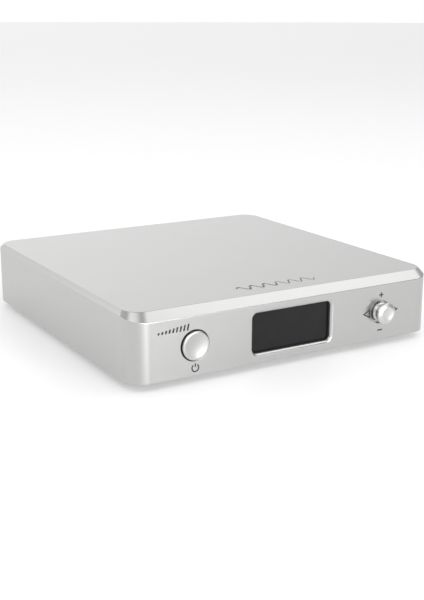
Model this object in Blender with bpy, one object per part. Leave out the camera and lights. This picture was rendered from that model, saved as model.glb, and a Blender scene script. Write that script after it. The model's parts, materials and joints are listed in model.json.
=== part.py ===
"""Desktop digital-to-analogue converter: a milled aluminium case with its boards, controls and sockets.

Units are metres. The front faces -Y, +X is to the right as seen from the front and +Z is up.
The origin is on the surface that the feet stand on, under the middle of the whole object.
Depths into the case are counted from its front face, heights from its underside.
"""

import math

import bmesh
import bpy
from mathutils import Vector

MM = 0.001
GAP = 0.3 * MM
MERGE_DISTANCE = 0.001 * MM

# Case
CASE_WIDTH = 140.0 * MM
CASE_DEPTH = 140.0 * MM
CASE_HEIGHT = 26.7 * MM
CORNER_RADIUS = 7.8 * MM
WALL = 2.0 * MM
FRONT_WALL = 3.5 * MM
FRONT_CHAMFER_DEPTH = 2.75 * MM
FRONT_CHAMFER_DROP = 3.6 * MM
SIDE_CHAMFER = 1.6 * MM
CHAMFER_FADE = 0.6
TOP_CORNER_RADIUS = 7.0 * MM
FOOT_HEIGHT = 2.8 * MM
KNOB_PROUD = 4.7 * MM
SOCKET_PROUD = 6.5 * MM

# Datum planes
CASE_FRONT = KNOB_PROUD - (CASE_DEPTH + KNOB_PROUD + SOCKET_PROUD) / 2
CASE_REAR = CASE_FRONT + CASE_DEPTH
CASE_UNDERSIDE = FOOT_HEIGHT
CASE_TOP = CASE_UNDERSIDE + CASE_HEIGHT
CEILING = CASE_TOP - WALL
CAVITY_HALF_WIDTH = CASE_WIDTH / 2 - WALL
CAVITY_FRONT = CASE_FRONT + FRONT_WALL
CAVITY_REAR = CASE_REAR - WALL
CAVITY_RADIUS = CORNER_RADIUS - WALL
CONTROL_HEIGHT = CASE_UNDERSIDE + 11.8 * MM

# Bottom plate and what is fixed to it
PLATE_THICKNESS = 1.5 * MM
PLATE_TOP = CASE_UNDERSIDE + PLATE_THICKNESS
FOOT_RADIUS = 7.0 * MM
FOOT_RECESS = 0.6 * MM
FOOT_X = 50.0 * MM
FOOT_INSET = 20.0 * MM
CASE_SCREW_X = 61.5 * MM
CASE_SCREW_FRONT_DEPTH = 12.0 * MM
BOARD_SCREW_X = 46.0 * MM
BOARD_SCREW_FRONT_DEPTH = 24.0 * MM
BOARD_SCREW_REAR_DEPTH = 100.0 * MM
SPACER_HEIGHT = 3.7 * MM
SPACER_RADIUS = 3.0 * MM

# Screws
SHANK_RADIUS = 1.2 * MM
SCREW_HOLE_RADIUS = SHANK_RADIUS + GAP
HEAD_RADIUS = 2.4 * MM
HEAD_HEIGHT = 1.2 * MM
DRIVE_RADIUS = 0.9 * MM
DRIVE_DEPTH = 0.7 * MM
HEAD_SINK = 0.1 * MM
BOTTOM_SCREW_LENGTH = 8.0 * MM
BOARD_SCREW_LENGTH = 4.5 * MM
PANEL_SCREW_LENGTH = 7.0 * MM
FRONT_BOARD_SCREW_LENGTH = 5.0 * MM

# Main board
BOARD_THICKNESS = 1.6 * MM
BOARD_UNDERSIDE = PLATE_TOP + SPACER_HEIGHT + GAP
BOARD_TOP = BOARD_UNDERSIDE + BOARD_THICKNESS
BOARD_HALF_WIDTH = 53.9 * MM
BOARD_FRONT_DEPTH = 14.0 * MM
ON_BOARD = BOARD_TOP + GAP

# Front board
FRONT_BOARD_DEPTH = 9.5 * MM
FRONT_BOARD_THICKNESS = 1.2 * MM
FRONT_BOARD_HALF_WIDTH = 57.0 * MM
FRONT_BOARD_LOW = PLATE_TOP + 1.7 * MM
FRONT_BOARD_HIGH = CEILING - 1.2 * MM
FRONT_POST_X = 28.6 * MM
FRONT_POST_RADIUS = 2.6 * MM
BOARD_CORNER_RADIUS = 1.5 * MM

# Ribbon cable between the boards
RIBBON_HALF_WIDTH = 8.0 * MM
RIBBON_THICKNESS = 0.3 * MM
RIBBON_RISE = 9.0 * MM
RIBBON_END_DEPTH = 24.0 * MM
RIBBON_PULL = 9.0 * MM
RIBBON_STEPS = 14

# Display
WINDOW_WIDTH = 37.3 * MM
WINDOW_HEIGHT = 16.8 * MM
WINDOW_RADIUS = 2.0 * MM
GLASS_DEPTH = 2.25 * MM
GLASS_THICKNESS = 1.1 * MM
GLASS_LAP = 1.2 * MM
DISPLAY_THICKNESS = 1.5 * MM

# Power button
BUTTON_X = -43.5 * MM
BUTTON_RADIUS = 5.45 * MM
BUTTON_HOLE_RADIUS = 6.0 * MM
BUTTON_DISH_RADIUS = 4.75 * MM
BUTTON_DISH_DEPTH = 0.6 * MM
BUTTON_PROUD = 1.15 * MM
BUTTON_FLANGE_RADIUS = 7.0 * MM
SWITCH_SIDE = 6.2 * MM
SWITCH_DEPTH = 6.0 * MM
SWITCH_FLOOR = 0.6 * MM
PLUNGER_RADIUS = 1.7 * MM
PLUNGER_LENGTH = 2.0 * MM
BUTTON_STEM_RADIUS = 1.9 * MM
BUTTON_FLANGE_THICKNESS = 0.9 * MM

# Joystick
STICK_X = 43.4 * MM
STICK_HOLE_RADIUS = 4.75 * MM
STICK_LIP = 1.2 * MM
STICK_WELL_RADIUS = 7.2 * MM
STICK_PIVOT_DEPTH = 5.5 * MM
KNOB_RADIUS = 4.57 * MM
KNOB_FLANGE_RADIUS = 4.0 * MM
KNOB_WAIST_RADIUS = 3.1 * MM
KNOB_DISH_RADIUS = 3.55 * MM
SHAFT_RADIUS = 1.4 * MM
STICK_HOUSING_SIDE = 14.0 * MM
STICK_HOUSING_DEPTH = 3.9 * MM
STICK_CAVITY_RADIUS = 5.6 * MM
RING_RADIUS = 4.7 * MM
RING_HOLE_RADIUS = 3.5 * MM
RING_THICKNESS = 1.4 * MM
YOKE_RADIUS = 3.0 * MM
TRUNNION_RADIUS = 0.5 * MM

# Rear panel and its sockets
PANEL_THICKNESS = 1.6 * MM
PANEL_HALF_WIDTH = 63.0 * MM
PANEL_OUTER = CAVITY_REAR - GAP
PANEL_INNER = PANEL_OUTER - PANEL_THICKNESS
PANEL_LOW = PLATE_TOP + GAP
PANEL_HIGH = CEILING - GAP
REAR_OPENING_HALF_WIDTH = 61.0 * MM
REAR_OPENING_LOW = CASE_UNDERSIDE + 2.2 * MM
REAR_OPENING_HIGH = CASE_TOP - 3.4 * MM
REAR_OPENING_RADIUS = 2.5 * MM
PANEL_SCREW_X = 57.5 * MM
PILLAR_X = 54.6 * MM
PILLAR_DEPTH = 9.0 * MM
SOCKET_HEIGHT = CASE_UNDERSIDE + 12.8 * MM
BEHIND_PANEL = PANEL_INNER - GAP
LINE_JACK_X = {"left": 46.3 * MM, "right": 31.0 * MM}
LINE_JACK_BORE_RADIUS = 3.25 * MM
LINE_JACK_BUSH_RADIUS = 5.4 * MM
LINE_JACK_NUT_RADIUS = 6.9 * MM
LINE_JACK_NUT_THICKNESS = 2.2 * MM
LINE_JACK_BUSH_PROUD = 5.5 * MM
LINE_JACK_END_WALL = 1.5 * MM
LINE_JACK_HALF_WIDTH = 7.0 * MM
LINE_JACK_ABOVE = 6.4 * MM
LINE_JACK_BODY_LENGTH = 26.0 * MM
PHONO_X = {"rca_out_left": 18.2 * MM, "rca_out_right": 7.2 * MM, "coax_in": -3.8 * MM}
PHONO_RADIUS = 4.15 * MM
PHONO_WALL = 0.65 * MM
OPTICAL_X = -15.0 * MM
OPTICAL_MOUTH_HALF_WIDTH = 3.4 * MM
OPTICAL_MOUTH_HALF_HEIGHT = 3.5 * MM
SHUTTER_HALF_WIDTH = 3.0 * MM
SHUTTER_LENGTH = 5.9 * MM
SHUTTER_THICKNESS = 0.8 * MM
USB_X = -27.5 * MM
USB_HALF_WIDTH = 6.0 * MM
USB_HALF_HEIGHT = 5.4 * MM
ANTENNA_X = -39.0 * MM
ANTENNA_RADIUS = 3.15 * MM
POWER_JACK_X = -49.0 * MM
POWER_JACK_BORE_RADIUS = 3.15 * MM

FINISHES = {
    # name: (red, green, blue), roughness, metallic
    "silver_aluminium": ((0.78, 0.78, 0.77), 0.38, 1.0),
    "black_glass": ((0.01, 0.01, 0.01), 0.05, 0.0),
    "black_plastic": ((0.02, 0.02, 0.02), 0.5, 0.0),
    "white_plastic": ((0.80, 0.79, 0.76), 0.45, 0.0),
    "red_plastic": ((0.55, 0.02, 0.02), 0.45, 0.0),
    "grey_plastic": ((0.16, 0.16, 0.17), 0.5, 0.0),
    "black_rubber": ((0.015, 0.015, 0.015), 0.85, 0.0),
    "board_green": ((0.01, 0.09, 0.05), 0.4, 0.0),
    "nickel": ((0.66, 0.65, 0.62), 0.25, 1.0),
    "gold": ((0.83, 0.62, 0.28), 0.25, 1.0),
    "black_steel": ((0.04, 0.04, 0.04), 0.4, 1.0),
}


def clear_scene():
    for thing in list(bpy.data.objects):
        bpy.data.objects.remove(thing, do_unlink=True)


def finish(name):
    """Returns the Principled material of this name, made the first time that it is asked for."""
    material = bpy.data.materials.get(name)
    if material:
        return material
    colour, roughness, metallic = FINISHES[name]
    material = bpy.data.materials.new(name)
    material.use_nodes = True
    shader = material.node_tree.nodes["Principled BSDF"]
    shader.inputs["Base Color"].default_value = (*colour, 1.0)
    shader.inputs["Roughness"].default_value = roughness
    shader.inputs["Metallic"].default_value = metallic
    return material


def rounded_rectangle(half_width, half_height, radius, steps=4, centre=(0.0, 0.0)):
    """Points of a rectangle with arcs at its corners, counter-clockwise from the lower right."""
    points = []
    quarters = ((1, -1, -90), (1, 1, 0), (-1, 1, 90), (-1, -1, 180))
    for side_x, side_y, start in quarters:
        for step in range(steps + 1):
            angle = math.radians(start + 90 * step / steps)
            x = centre[0] + side_x * (half_width - radius) + radius * math.cos(angle)
            y = centre[1] + side_y * (half_height - radius) + radius * math.sin(angle)
            points.append((x, y))
    return points


def hexagon(radius):
    """Points of a hexagon with this corner radius and corners at its sides."""
    angles = [math.radians(60 * corner) for corner in range(6)]
    return [(radius * math.cos(angle), radius * math.sin(angle)) for angle in angles]


class Shape:
    """Closed bodies gathered in one mesh, about the local origin of the piece they make."""

    def __init__(self):
        self.mesh = bmesh.new()

    def box(self, low, high):
        size = Vector(high) - Vector(low)
        made = bmesh.ops.create_cube(self.mesh, size=1.0)
        bmesh.ops.scale(self.mesh, vec=size, verts=made["verts"])
        bmesh.ops.translate(self.mesh, vec=(Vector(high) + Vector(low)) / 2, verts=made["verts"])
        return self

    def loft(self, rings):
        """Skins a stack of rings that have the same number of points, and caps both ends."""
        rows = [[self.mesh.verts.new(point) for point in ring] for ring in rings]
        for lower, upper in zip(rows, rows[1:]):
            for index in range(len(lower)):
                after = (index + 1) % len(lower)
                self.mesh.faces.new((lower[index], lower[after], upper[after], upper[index]))
        self.mesh.faces.new(rows[0])
        self.mesh.faces.new(rows[-1])
        return self

    def prism(self, outline, axis, start, end):
        """Extrudes a flat outline along an axis. Its two coordinates are the other axes in order."""
        place = {
            "X": lambda a, b, along: (along, a, b),
            "Y": lambda a, b, along: (a, along, b),
            "Z": lambda a, b, along: (a, b, along),
        }[axis]
        return self.loft([[place(a, b, along) for a, b in outline] for along in (start, end)])

    def turned(self, profile, axis="Y", centre=(0.0, 0.0, 0.0), steps=24):
        """Spins (radius, distance along the axis) points into a solid, closed on the axis."""
        start = Vector(centre)
        direction = {"X": Vector((1, 0, 0)), "Y": Vector((0, 1, 0)), "Z": Vector((0, 0, 1))}[axis]
        outward = {"X": Vector((0, 1, 0)), "Y": Vector((1, 0, 0)), "Z": Vector((1, 0, 0))}[axis]
        verts = [self.mesh.verts.new(start + outward * r + direction * t) for r, t in profile]
        edges = [self.mesh.edges.new(pair) for pair in zip(verts, verts[1:])]
        if profile[0][0] > 0:
            edges.append(self.mesh.edges.new((verts[-1], verts[0])))
        bmesh.ops.spin(
            self.mesh, geom=verts + edges, cent=start, axis=direction,
            angle=math.tau, steps=steps, use_merge=True,
        )
        bmesh.ops.remove_doubles(self.mesh, verts=self.mesh.verts, dist=MERGE_DISTANCE)
        return self

    def cylinder(self, radius, axis, start, end, centre=(0.0, 0.0, 0.0), steps=24):
        profile = [(0.0, start), (radius, start), (radius, end), (0.0, end)]
        return self.turned(profile, axis, centre, steps)

    def tube(self, outer, inner, axis, start, end, centre=(0.0, 0.0, 0.0), steps=24):
        profile = [(inner, start), (outer, start), (outer, end), (inner, end)]
        return self.turned(profile, axis, centre, steps)

    def to_object(self, name):
        bmesh.ops.recalc_face_normals(self.mesh, faces=self.mesh.faces)
        data = bpy.data.meshes.new(name)
        self.mesh.to_mesh(data)
        self.mesh.free()
        thing = bpy.data.objects.new(name, data)
        bpy.context.scene.collection.objects.link(thing)
        return thing


def combine(thing, tool, operation):
    """Cuts, joins or intersects a piece with a tool shape, and drops the tool."""
    tool_object = tool.to_object("tool")
    tool_object.location = thing.location
    modifier = thing.modifiers.new("combine", "BOOLEAN")
    modifier.object = tool_object
    modifier.operation = operation
    modifier.solver = "EXACT"
    bpy.context.view_layer.update()
    evaluated = thing.evaluated_get(bpy.context.evaluated_depsgraph_get())
    old = thing.data
    data = bpy.data.meshes.new_from_object(evaluated)
    thing.modifiers.clear()
    thing.data = data
    data.name = thing.name
    bpy.data.meshes.remove(old)
    bpy.data.objects.remove(tool_object, do_unlink=True)


def piece(name, shape, look, location=(0.0, 0.0, 0.0), parent=None, joined=None, cut=None):
    """Makes one named sub-part from its shape, with further bodies joined on and hollows cut out."""
    thing = shape.to_object(name)
    if joined:
        combine(thing, joined, "UNION")
    if cut:
        combine(thing, cut, "DIFFERENCE")
    thing.data.materials.clear()
    thing.data.materials.append(finish(look))
    thing.location = location
    if parent:
        thing.parent = parent
    thing.data.shade_smooth()
    thing.data.set_sharp_from_angle(angle=math.radians(35))
    return thing


def pivot(name, location):
    """An empty on a joint's axis, which the pieces that move with the joint hang from."""
    empty = bpy.data.objects.new(name, None)
    empty.location = location
    bpy.context.scene.collection.objects.link(empty)
    return empty


def depth(distance):
    """World Y of a depth behind the case's front face."""
    return CASE_FRONT + distance


def case_rings():
    """The case's outline at its underside, at the foot of its top edge's chamfer and at its top."""
    centre_y = (CASE_FRONT + CASE_REAR) / 2
    plan = rounded_rectangle(CASE_WIDTH / 2, CASE_DEPTH / 2, CORNER_RADIUS, 8, (0.0, centre_y))
    inset = (FRONT_CHAMFER_DEPTH - SIDE_CHAMFER) / 2
    top = rounded_rectangle(
        CASE_WIDTH / 2 - SIDE_CHAMFER, CASE_DEPTH / 2 - SIDE_CHAMFER - inset,
        TOP_CORNER_RADIUS, 8, (0.0, centre_y + inset),
    )
    shoulder = []
    for x, y in plan:
        behind_centre = CASE_FRONT + CORNER_RADIUS - y
        beside_centre = abs(x) - (CASE_WIDTH / 2 - CORNER_RADIUS)
        turn = 1.0
        if behind_centre > 0:
            turn = math.atan2(max(beside_centre, 0.0), behind_centre) / (math.pi / 2)
        fade = max(1.0 - turn, 0.0) ** CHAMFER_FADE
        drop = SIDE_CHAMFER + (FRONT_CHAMFER_DROP - SIDE_CHAMFER) * fade
        shoulder.append((x, y, CASE_TOP - drop))
    return [
        [(x, y, CASE_UNDERSIDE) for x, y in plan],
        shoulder,
        [(x, y, CASE_TOP) for x, y in top],
    ]


def case_screw_places():
    """Name ending, X and Y of the four screws that hold the bottom plate to the case."""
    rear_y = BEHIND_PANEL - PILLAR_DEPTH / 2
    for row, y in (("front", depth(CASE_SCREW_FRONT_DEPTH)), ("rear", rear_y)):
        for side, sign in (("left", -1), ("right", 1)):
            yield f"{row}_{side}", sign * CASE_SCREW_X, y


def board_screw_places():
    for row, along in (("front", BOARD_SCREW_FRONT_DEPTH), ("rear", BOARD_SCREW_REAR_DEPTH)):
        for side, sign in (("left", -1), ("right", 1)):
            yield f"{row}_{side}", sign * BOARD_SCREW_X, depth(along)


def foot_places():
    for row, y in (("front", CASE_FRONT + FOOT_INSET), ("rear", CASE_REAR - FOOT_INSET)):
        for side, sign in (("left", -1), ("right", 1)):
            yield f"{row}_{side}", sign * FOOT_X, y


def make_case():
    """The one-piece cover: top, front, sides and the frame around the rear panel."""
    hollow = Shape()
    middle = (CAVITY_FRONT + CAVITY_REAR) / 2
    cavity = rounded_rectangle(
        CAVITY_HALF_WIDTH, (CAVITY_REAR - CAVITY_FRONT) / 2, CAVITY_RADIUS, 4, (0.0, middle)
    )
    hollow.prism(cavity, "Z", 0.0, CEILING)
    cover = piece("top_shell", Shape().loft(case_rings()), "silver_aluminium", cut=hollow)

    posts = Shape()
    root = CEILING + WALL / 2
    screw_start = PLATE_TOP + GAP
    for place, x, y in case_screw_places():
        if place.startswith("front"):
            posts.cylinder(3.2 * MM, "Z", screw_start, root, (x, y, 0.0), 16)
    for sign in (-1, 1):
        outer = CAVITY_HALF_WIDTH + WALL / 2
        near, far = sorted((sign * PILLAR_X, sign * outer))
        posts.box((near, BEHIND_PANEL - PILLAR_DEPTH, screw_start), (far, BEHIND_PANEL, root))
        post_centre = (sign * FRONT_POST_X, 0.0, CONTROL_HEIGHT)
        post_end = depth(FRONT_BOARD_DEPTH) - GAP
        posts.cylinder(FRONT_POST_RADIUS, "Y", CAVITY_FRONT - WALL / 2, post_end, post_centre, 16)
    combine(cover, posts, "UNION")

    holes = Shape()
    window_centre = (0.0, CONTROL_HEIGHT)
    window = rounded_rectangle(
        WINDOW_WIDTH / 2, WINDOW_HEIGHT / 2, WINDOW_RADIUS, 4, window_centre
    )
    holes.prism(window, "Y", depth(-WALL), depth(FRONT_WALL + WALL))
    button_centre = (BUTTON_X, 0.0, CONTROL_HEIGHT)
    through = depth(FRONT_WALL + WALL)
    holes.cylinder(BUTTON_HOLE_RADIUS, "Y", depth(-WALL), through, button_centre, 32)
    stick_centre = (STICK_X, 0.0, CONTROL_HEIGHT)
    stick_profile = [
        (0.0, depth(-WALL)), (STICK_HOLE_RADIUS, depth(-WALL)), (STICK_HOLE_RADIUS, depth(STICK_LIP)),
        (STICK_WELL_RADIUS, depth(STICK_LIP)), (STICK_WELL_RADIUS, depth(FRONT_WALL + WALL)),
        (0.0, depth(FRONT_WALL + WALL)),
    ]
    holes.turned(stick_profile, "Y", stick_centre, 32)
    rear = rounded_rectangle(
        REAR_OPENING_HALF_WIDTH, (REAR_OPENING_HIGH - REAR_OPENING_LOW) / 2, REAR_OPENING_RADIUS,
        3, (0.0, (REAR_OPENING_HIGH + REAR_OPENING_LOW) / 2),
    )
    holes.prism(rear, "Y", CAVITY_REAR - WALL / 4, CASE_REAR + WALL)
    for _, x, y in case_screw_places():
        holes.cylinder(SCREW_HOLE_RADIUS, "Z", 0.0, PLATE_TOP + 8.0 * MM, (x, y, 0.0), 12)
    for sign in (-1, 1):
        panel_screw = (sign * PANEL_SCREW_X, 0.0, SOCKET_HEIGHT)
        holes.cylinder(SCREW_HOLE_RADIUS, "Y", PANEL_INNER - 7.5 * MM, PANEL_INNER, panel_screw, 12)
        post_screw = (sign * FRONT_POST_X, 0.0, CONTROL_HEIGHT)
        holes.cylinder(
            SCREW_HOLE_RADIUS, "Y", depth(4.0 * MM), depth(FRONT_BOARD_DEPTH), post_screw, 12
        )
    combine(cover, holes, "DIFFERENCE")

    rebate = Shape()
    lap = rounded_rectangle(
        WINDOW_WIDTH / 2 + GLASS_LAP + GAP, WINDOW_HEIGHT / 2 + GLASS_LAP + GAP,
        WINDOW_RADIUS + GLASS_LAP + GAP, 4, window_centre,
    )
    rebate.prism(lap, "Y", depth(GLASS_DEPTH - GAP), depth(FRONT_WALL + WALL))
    combine(cover, rebate, "DIFFERENCE")
    cover.data.materials.clear()
    cover.data.materials.append(finish("silver_aluminium"))
    cover.data.shade_smooth()
    cover.data.set_sharp_from_angle(angle=math.radians(20))


def make_bottom_plate():
    """The plate that closes the underside, with recesses for the feet and spacers for the board."""
    middle = (CAVITY_FRONT + CAVITY_REAR) / 2
    outline = rounded_rectangle(
        CAVITY_HALF_WIDTH - GAP, (CAVITY_REAR - CAVITY_FRONT) / 2 - GAP, CAVITY_RADIUS - GAP,
        4, (0.0, middle),
    )
    plate = Shape().prism(outline, "Z", CASE_UNDERSIDE, PLATE_TOP)
    spacers = Shape()
    for _, x, y in board_screw_places():
        spacers.cylinder(
            SPACER_RADIUS, "Z", CASE_UNDERSIDE + WALL / 2, PLATE_TOP + SPACER_HEIGHT, (x, y, 0.0), 16
        )
    holes = Shape()
    for _, x, y in board_screw_places():
        holes.cylinder(
            SCREW_HOLE_RADIUS, "Z", PLATE_TOP, BOARD_UNDERSIDE + WALL, (x, y, 0.0), 12
        )
    for _, x, y in foot_places():
        holes.cylinder(
            FOOT_RADIUS + GAP, "Z", 0.0, CASE_UNDERSIDE + FOOT_RECESS, (x, y, 0.0), 24
        )
    for _, x, y in case_screw_places():
        countersink = [
            (0.0, 0.0), (HEAD_RADIUS + GAP, 0.0), (HEAD_RADIUS + GAP, CASE_UNDERSIDE + 0.2 * MM),
            (SCREW_HOLE_RADIUS, CASE_UNDERSIDE + 0.2 * MM + HEAD_HEIGHT),
            (SCREW_HOLE_RADIUS, CASE_TOP), (0.0, CASE_TOP),
        ]
        holes.turned(countersink, "Z", (x, y, 0.0), 16)
    piece("bottom_plate", plate, "silver_aluminium", joined=spacers, cut=holes)


def make_feet():
    profile = [
        (0.0, 0.0), (FOOT_RADIUS - 0.8 * MM, 0.0), (FOOT_RADIUS - 0.2 * MM, 0.4 * MM),
        (FOOT_RADIUS, FOOT_HEIGHT + FOOT_RECESS - GAP), (0.0, FOOT_HEIGHT + FOOT_RECESS - GAP),
    ]
    for place, x, y in foot_places():
        piece(f"foot_{place}", Shape().turned(profile, "Z"), "black_rubber", (x, y, 0.0))


def countersunk_screw(length):
    """A screw along Z with its flat head down at the origin and its shank pointing up."""
    return Shape().turned([
        (0.0, DRIVE_DEPTH), (DRIVE_RADIUS, DRIVE_DEPTH), (DRIVE_RADIUS, 0.0), (HEAD_RADIUS, 0.0),
        (SHANK_RADIUS, HEAD_HEIGHT), (SHANK_RADIUS, length), (0.0, length),
    ], "Z", steps=16)


def pan_screw(axis, direction, length):
    """A screw with a raised head. Its head rests at the origin and its shank points in direction."""
    points = [
        (0.0, DRIVE_DEPTH - HEAD_HEIGHT), (DRIVE_RADIUS, DRIVE_DEPTH - HEAD_HEIGHT),
        (DRIVE_RADIUS, -HEAD_HEIGHT), (HEAD_RADIUS * 0.8, -HEAD_HEIGHT),
        (HEAD_RADIUS, -HEAD_HEIGHT / 2), (HEAD_RADIUS, 0.0), (SHANK_RADIUS, 0.0),
        (SHANK_RADIUS, length), (0.0, length),
    ]
    return Shape().turned([(radius, direction * along) for radius, along in points], axis, steps=16)


def make_screws():
    for place, x, y in case_screw_places():
        location = (x, y, CASE_UNDERSIDE + HEAD_SINK)
        screw = countersunk_screw(BOTTOM_SCREW_LENGTH)
        piece(f"bottom_screw_{place}", screw, "black_steel", location)
    for place, x, y in board_screw_places():
        screw = pan_screw("Z", -1, BOARD_SCREW_LENGTH)
        piece(f"board_screw_{place}", screw, "nickel", (x, y, ON_BOARD))
    for side, sign in (("left", -1), ("right", 1)):
        location = (sign * PANEL_SCREW_X, PANEL_OUTER + GAP, SOCKET_HEIGHT)
        screw = pan_screw("Y", -1, PANEL_SCREW_LENGTH)
        piece(f"panel_screw_{side}", screw, "black_steel", location)
        board_back = depth(FRONT_BOARD_DEPTH + FRONT_BOARD_THICKNESS) + GAP
        location = (sign * FRONT_POST_X, board_back, CONTROL_HEIGHT)
        screw = pan_screw("Y", -1, FRONT_BOARD_SCREW_LENGTH)
        piece(f"front_board_screw_{side}", screw, "nickel", location)


def make_boards():
    outline = rounded_rectangle(
        BOARD_HALF_WIDTH, (BEHIND_PANEL - depth(BOARD_FRONT_DEPTH)) / 2, BOARD_CORNER_RADIUS, 2,
        (0.0, (BEHIND_PANEL + depth(BOARD_FRONT_DEPTH)) / 2),
    )
    holes = Shape()
    for _, x, y in board_screw_places():
        holes.cylinder(SCREW_HOLE_RADIUS, "Z", 0.0, CASE_TOP, (x, y, 0.0), 12)
    board = Shape().prism(outline, "Z", BOARD_UNDERSIDE, BOARD_TOP)
    piece("main_board", board, "board_green", cut=holes)

    outline = rounded_rectangle(
        FRONT_BOARD_HALF_WIDTH, (FRONT_BOARD_HIGH - FRONT_BOARD_LOW) / 2, BOARD_CORNER_RADIUS, 2,
        (0.0, (FRONT_BOARD_HIGH + FRONT_BOARD_LOW) / 2),
    )
    front = depth(FRONT_BOARD_DEPTH)
    holes = Shape()
    for sign in (-1, 1):
        centre = (sign * FRONT_POST_X, 0.0, CONTROL_HEIGHT)
        holes.cylinder(SCREW_HOLE_RADIUS, "Y", CASE_FRONT, front + WALL, centre, 12)
    board = Shape().prism(outline, "Y", front, front + FRONT_BOARD_THICKNESS)
    piece("front_board", board, "board_green", cut=holes)


def make_ribbon_cable():
    """The flat cable between the boards: out of the front board's back, over and down to the other."""
    start = (depth(FRONT_BOARD_DEPTH + FRONT_BOARD_THICKNESS) + GAP, BOARD_TOP + RIBBON_RISE)
    end = (depth(RIBBON_END_DEPTH), ON_BOARD)
    pulls = (start, (start[0] + RIBBON_PULL, start[1]), (end[0] - RIBBON_PULL, end[1]), end)
    above = []
    below = []
    for step in range(RIBBON_STEPS + 1):
        t = step / RIBBON_STEPS
        weights = ((1 - t) ** 3, 3 * t * (1 - t) ** 2, 3 * t * t * (1 - t), t ** 3)
        y = sum(weight * pull[0] for weight, pull in zip(weights, pulls))
        z = sum(weight * pull[1] for weight, pull in zip(weights, pulls))
        slopes = (-(1 - t) ** 2, (1 - t) * (1 - 3 * t), t * (2 - 3 * t), t * t)
        run = Vector((
            sum(slope * pull[0] for slope, pull in zip(slopes, pulls)),
            sum(slope * pull[1] for slope, pull in zip(slopes, pulls)),
        )).normalized()
        below.append((y, z))
        above.append((y - run[1] * RIBBON_THICKNESS, z + run[0] * RIBBON_THICKNESS))
    outline = below + above[::-1]
    cable = Shape().prism(outline, "X", -RIBBON_HALF_WIDTH, RIBBON_HALF_WIDTH)
    piece("ribbon_cable", cable, "white_plastic")


def make_display():
    centre = (0.0, CONTROL_HEIGHT)
    glass_back = GLASS_DEPTH + GLASS_THICKNESS
    outline = rounded_rectangle(
        WINDOW_WIDTH / 2 + GLASS_LAP, WINDOW_HEIGHT / 2 + GLASS_LAP, WINDOW_RADIUS + GLASS_LAP, 4,
        centre,
    )
    glass = Shape().prism(outline, "Y", depth(GLASS_DEPTH), depth(glass_back))
    piece("display_glass", glass, "black_glass")

    half_width = WINDOW_WIDTH / 2 - 0.4 * MM
    half_height = WINDOW_HEIGHT / 2 + 0.2 * MM
    front = depth(glass_back + GAP)
    back = front + DISPLAY_THICKNESS
    module = Shape().box(
        (-half_width, front, CONTROL_HEIGHT - half_height),
        (half_width, back, CONTROL_HEIGHT + half_height),
    )
    piece("display_module", module, "black_glass")

    holder_back = depth(FRONT_BOARD_DEPTH) - GAP
    outer_width = half_width + 2.4 * MM
    outer_height = half_height + 1.4 * MM
    tray = Shape().box(
        (-outer_width, front + GAP, CONTROL_HEIGHT - outer_height),
        (outer_width, holder_back, CONTROL_HEIGHT + outer_height),
    )
    pocket = Shape().box(
        (-half_width - GAP, front - WALL, CONTROL_HEIGHT - half_height - GAP),
        (half_width + GAP, back + GAP, CONTROL_HEIGHT + half_height + GAP),
    )
    pocket.box(
        (-half_width + WALL, back + GAP + 1.2 * MM, CONTROL_HEIGHT - half_height + WALL),
        (half_width - WALL, holder_back + WALL, CONTROL_HEIGHT + half_height - WALL),
    )
    piece("display_holder", tray, "black_plastic", cut=pocket)


def dish_profile(radius, front, sag, steps):
    """Points of a shallow spherical dish, from its middle out to its rim. Front is the rim's level."""
    sphere = (radius ** 2 + sag ** 2) / (2 * sag)
    points = []
    for step in range(steps + 1):
        r = radius * step / steps
        points.append((r, front + math.sqrt(sphere ** 2 - r ** 2) - (sphere - sag)))
    return points


def make_power_button():
    """The dished button, held behind the front wall by its flange, and the switch that it presses."""
    press = pivot("power_button_pivot", (BUTTON_X, CASE_FRONT, CONTROL_HEIGHT))
    flange_front = FRONT_WALL + GAP
    flange_back = flange_front + BUTTON_FLANGE_THICKNESS
    stem_end = flange_back + GAP
    profile = dish_profile(BUTTON_DISH_RADIUS, -BUTTON_PROUD, BUTTON_DISH_DEPTH, 4)
    profile += [
        (BUTTON_RADIUS - 0.3 * MM, -BUTTON_PROUD + 0.15 * MM),
        (BUTTON_RADIUS, -BUTTON_PROUD + 0.55 * MM),
        (BUTTON_RADIUS, flange_front), (BUTTON_FLANGE_RADIUS, flange_front),
        (BUTTON_FLANGE_RADIUS, flange_back), (BUTTON_STEM_RADIUS, flange_back),
        (BUTTON_STEM_RADIUS, stem_end), (0.0, stem_end),
    ]
    piece("power_button", Shape().turned(profile, "Y", steps=32), "silver_aluminium", parent=press)

    plunger = Shape().cylinder(PLUNGER_RADIUS, "Y", stem_end + GAP, stem_end + PLUNGER_LENGTH, steps=16)
    piece("power_switch_plunger", plunger, "white_plastic", parent=press)

    half = SWITCH_SIDE / 2
    switch_back = FRONT_BOARD_DEPTH - GAP
    body = Shape().box((-half, SWITCH_DEPTH, -half), (half, switch_back, half))
    well = Shape().cylinder(PLUNGER_RADIUS + GAP, "Y", 0.0, switch_back - SWITCH_FLOOR, steps=16)
    location = (BUTTON_X, CASE_FRONT, CONTROL_HEIGHT)
    piece("power_switch", body, "black_plastic", location, cut=well)


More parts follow.
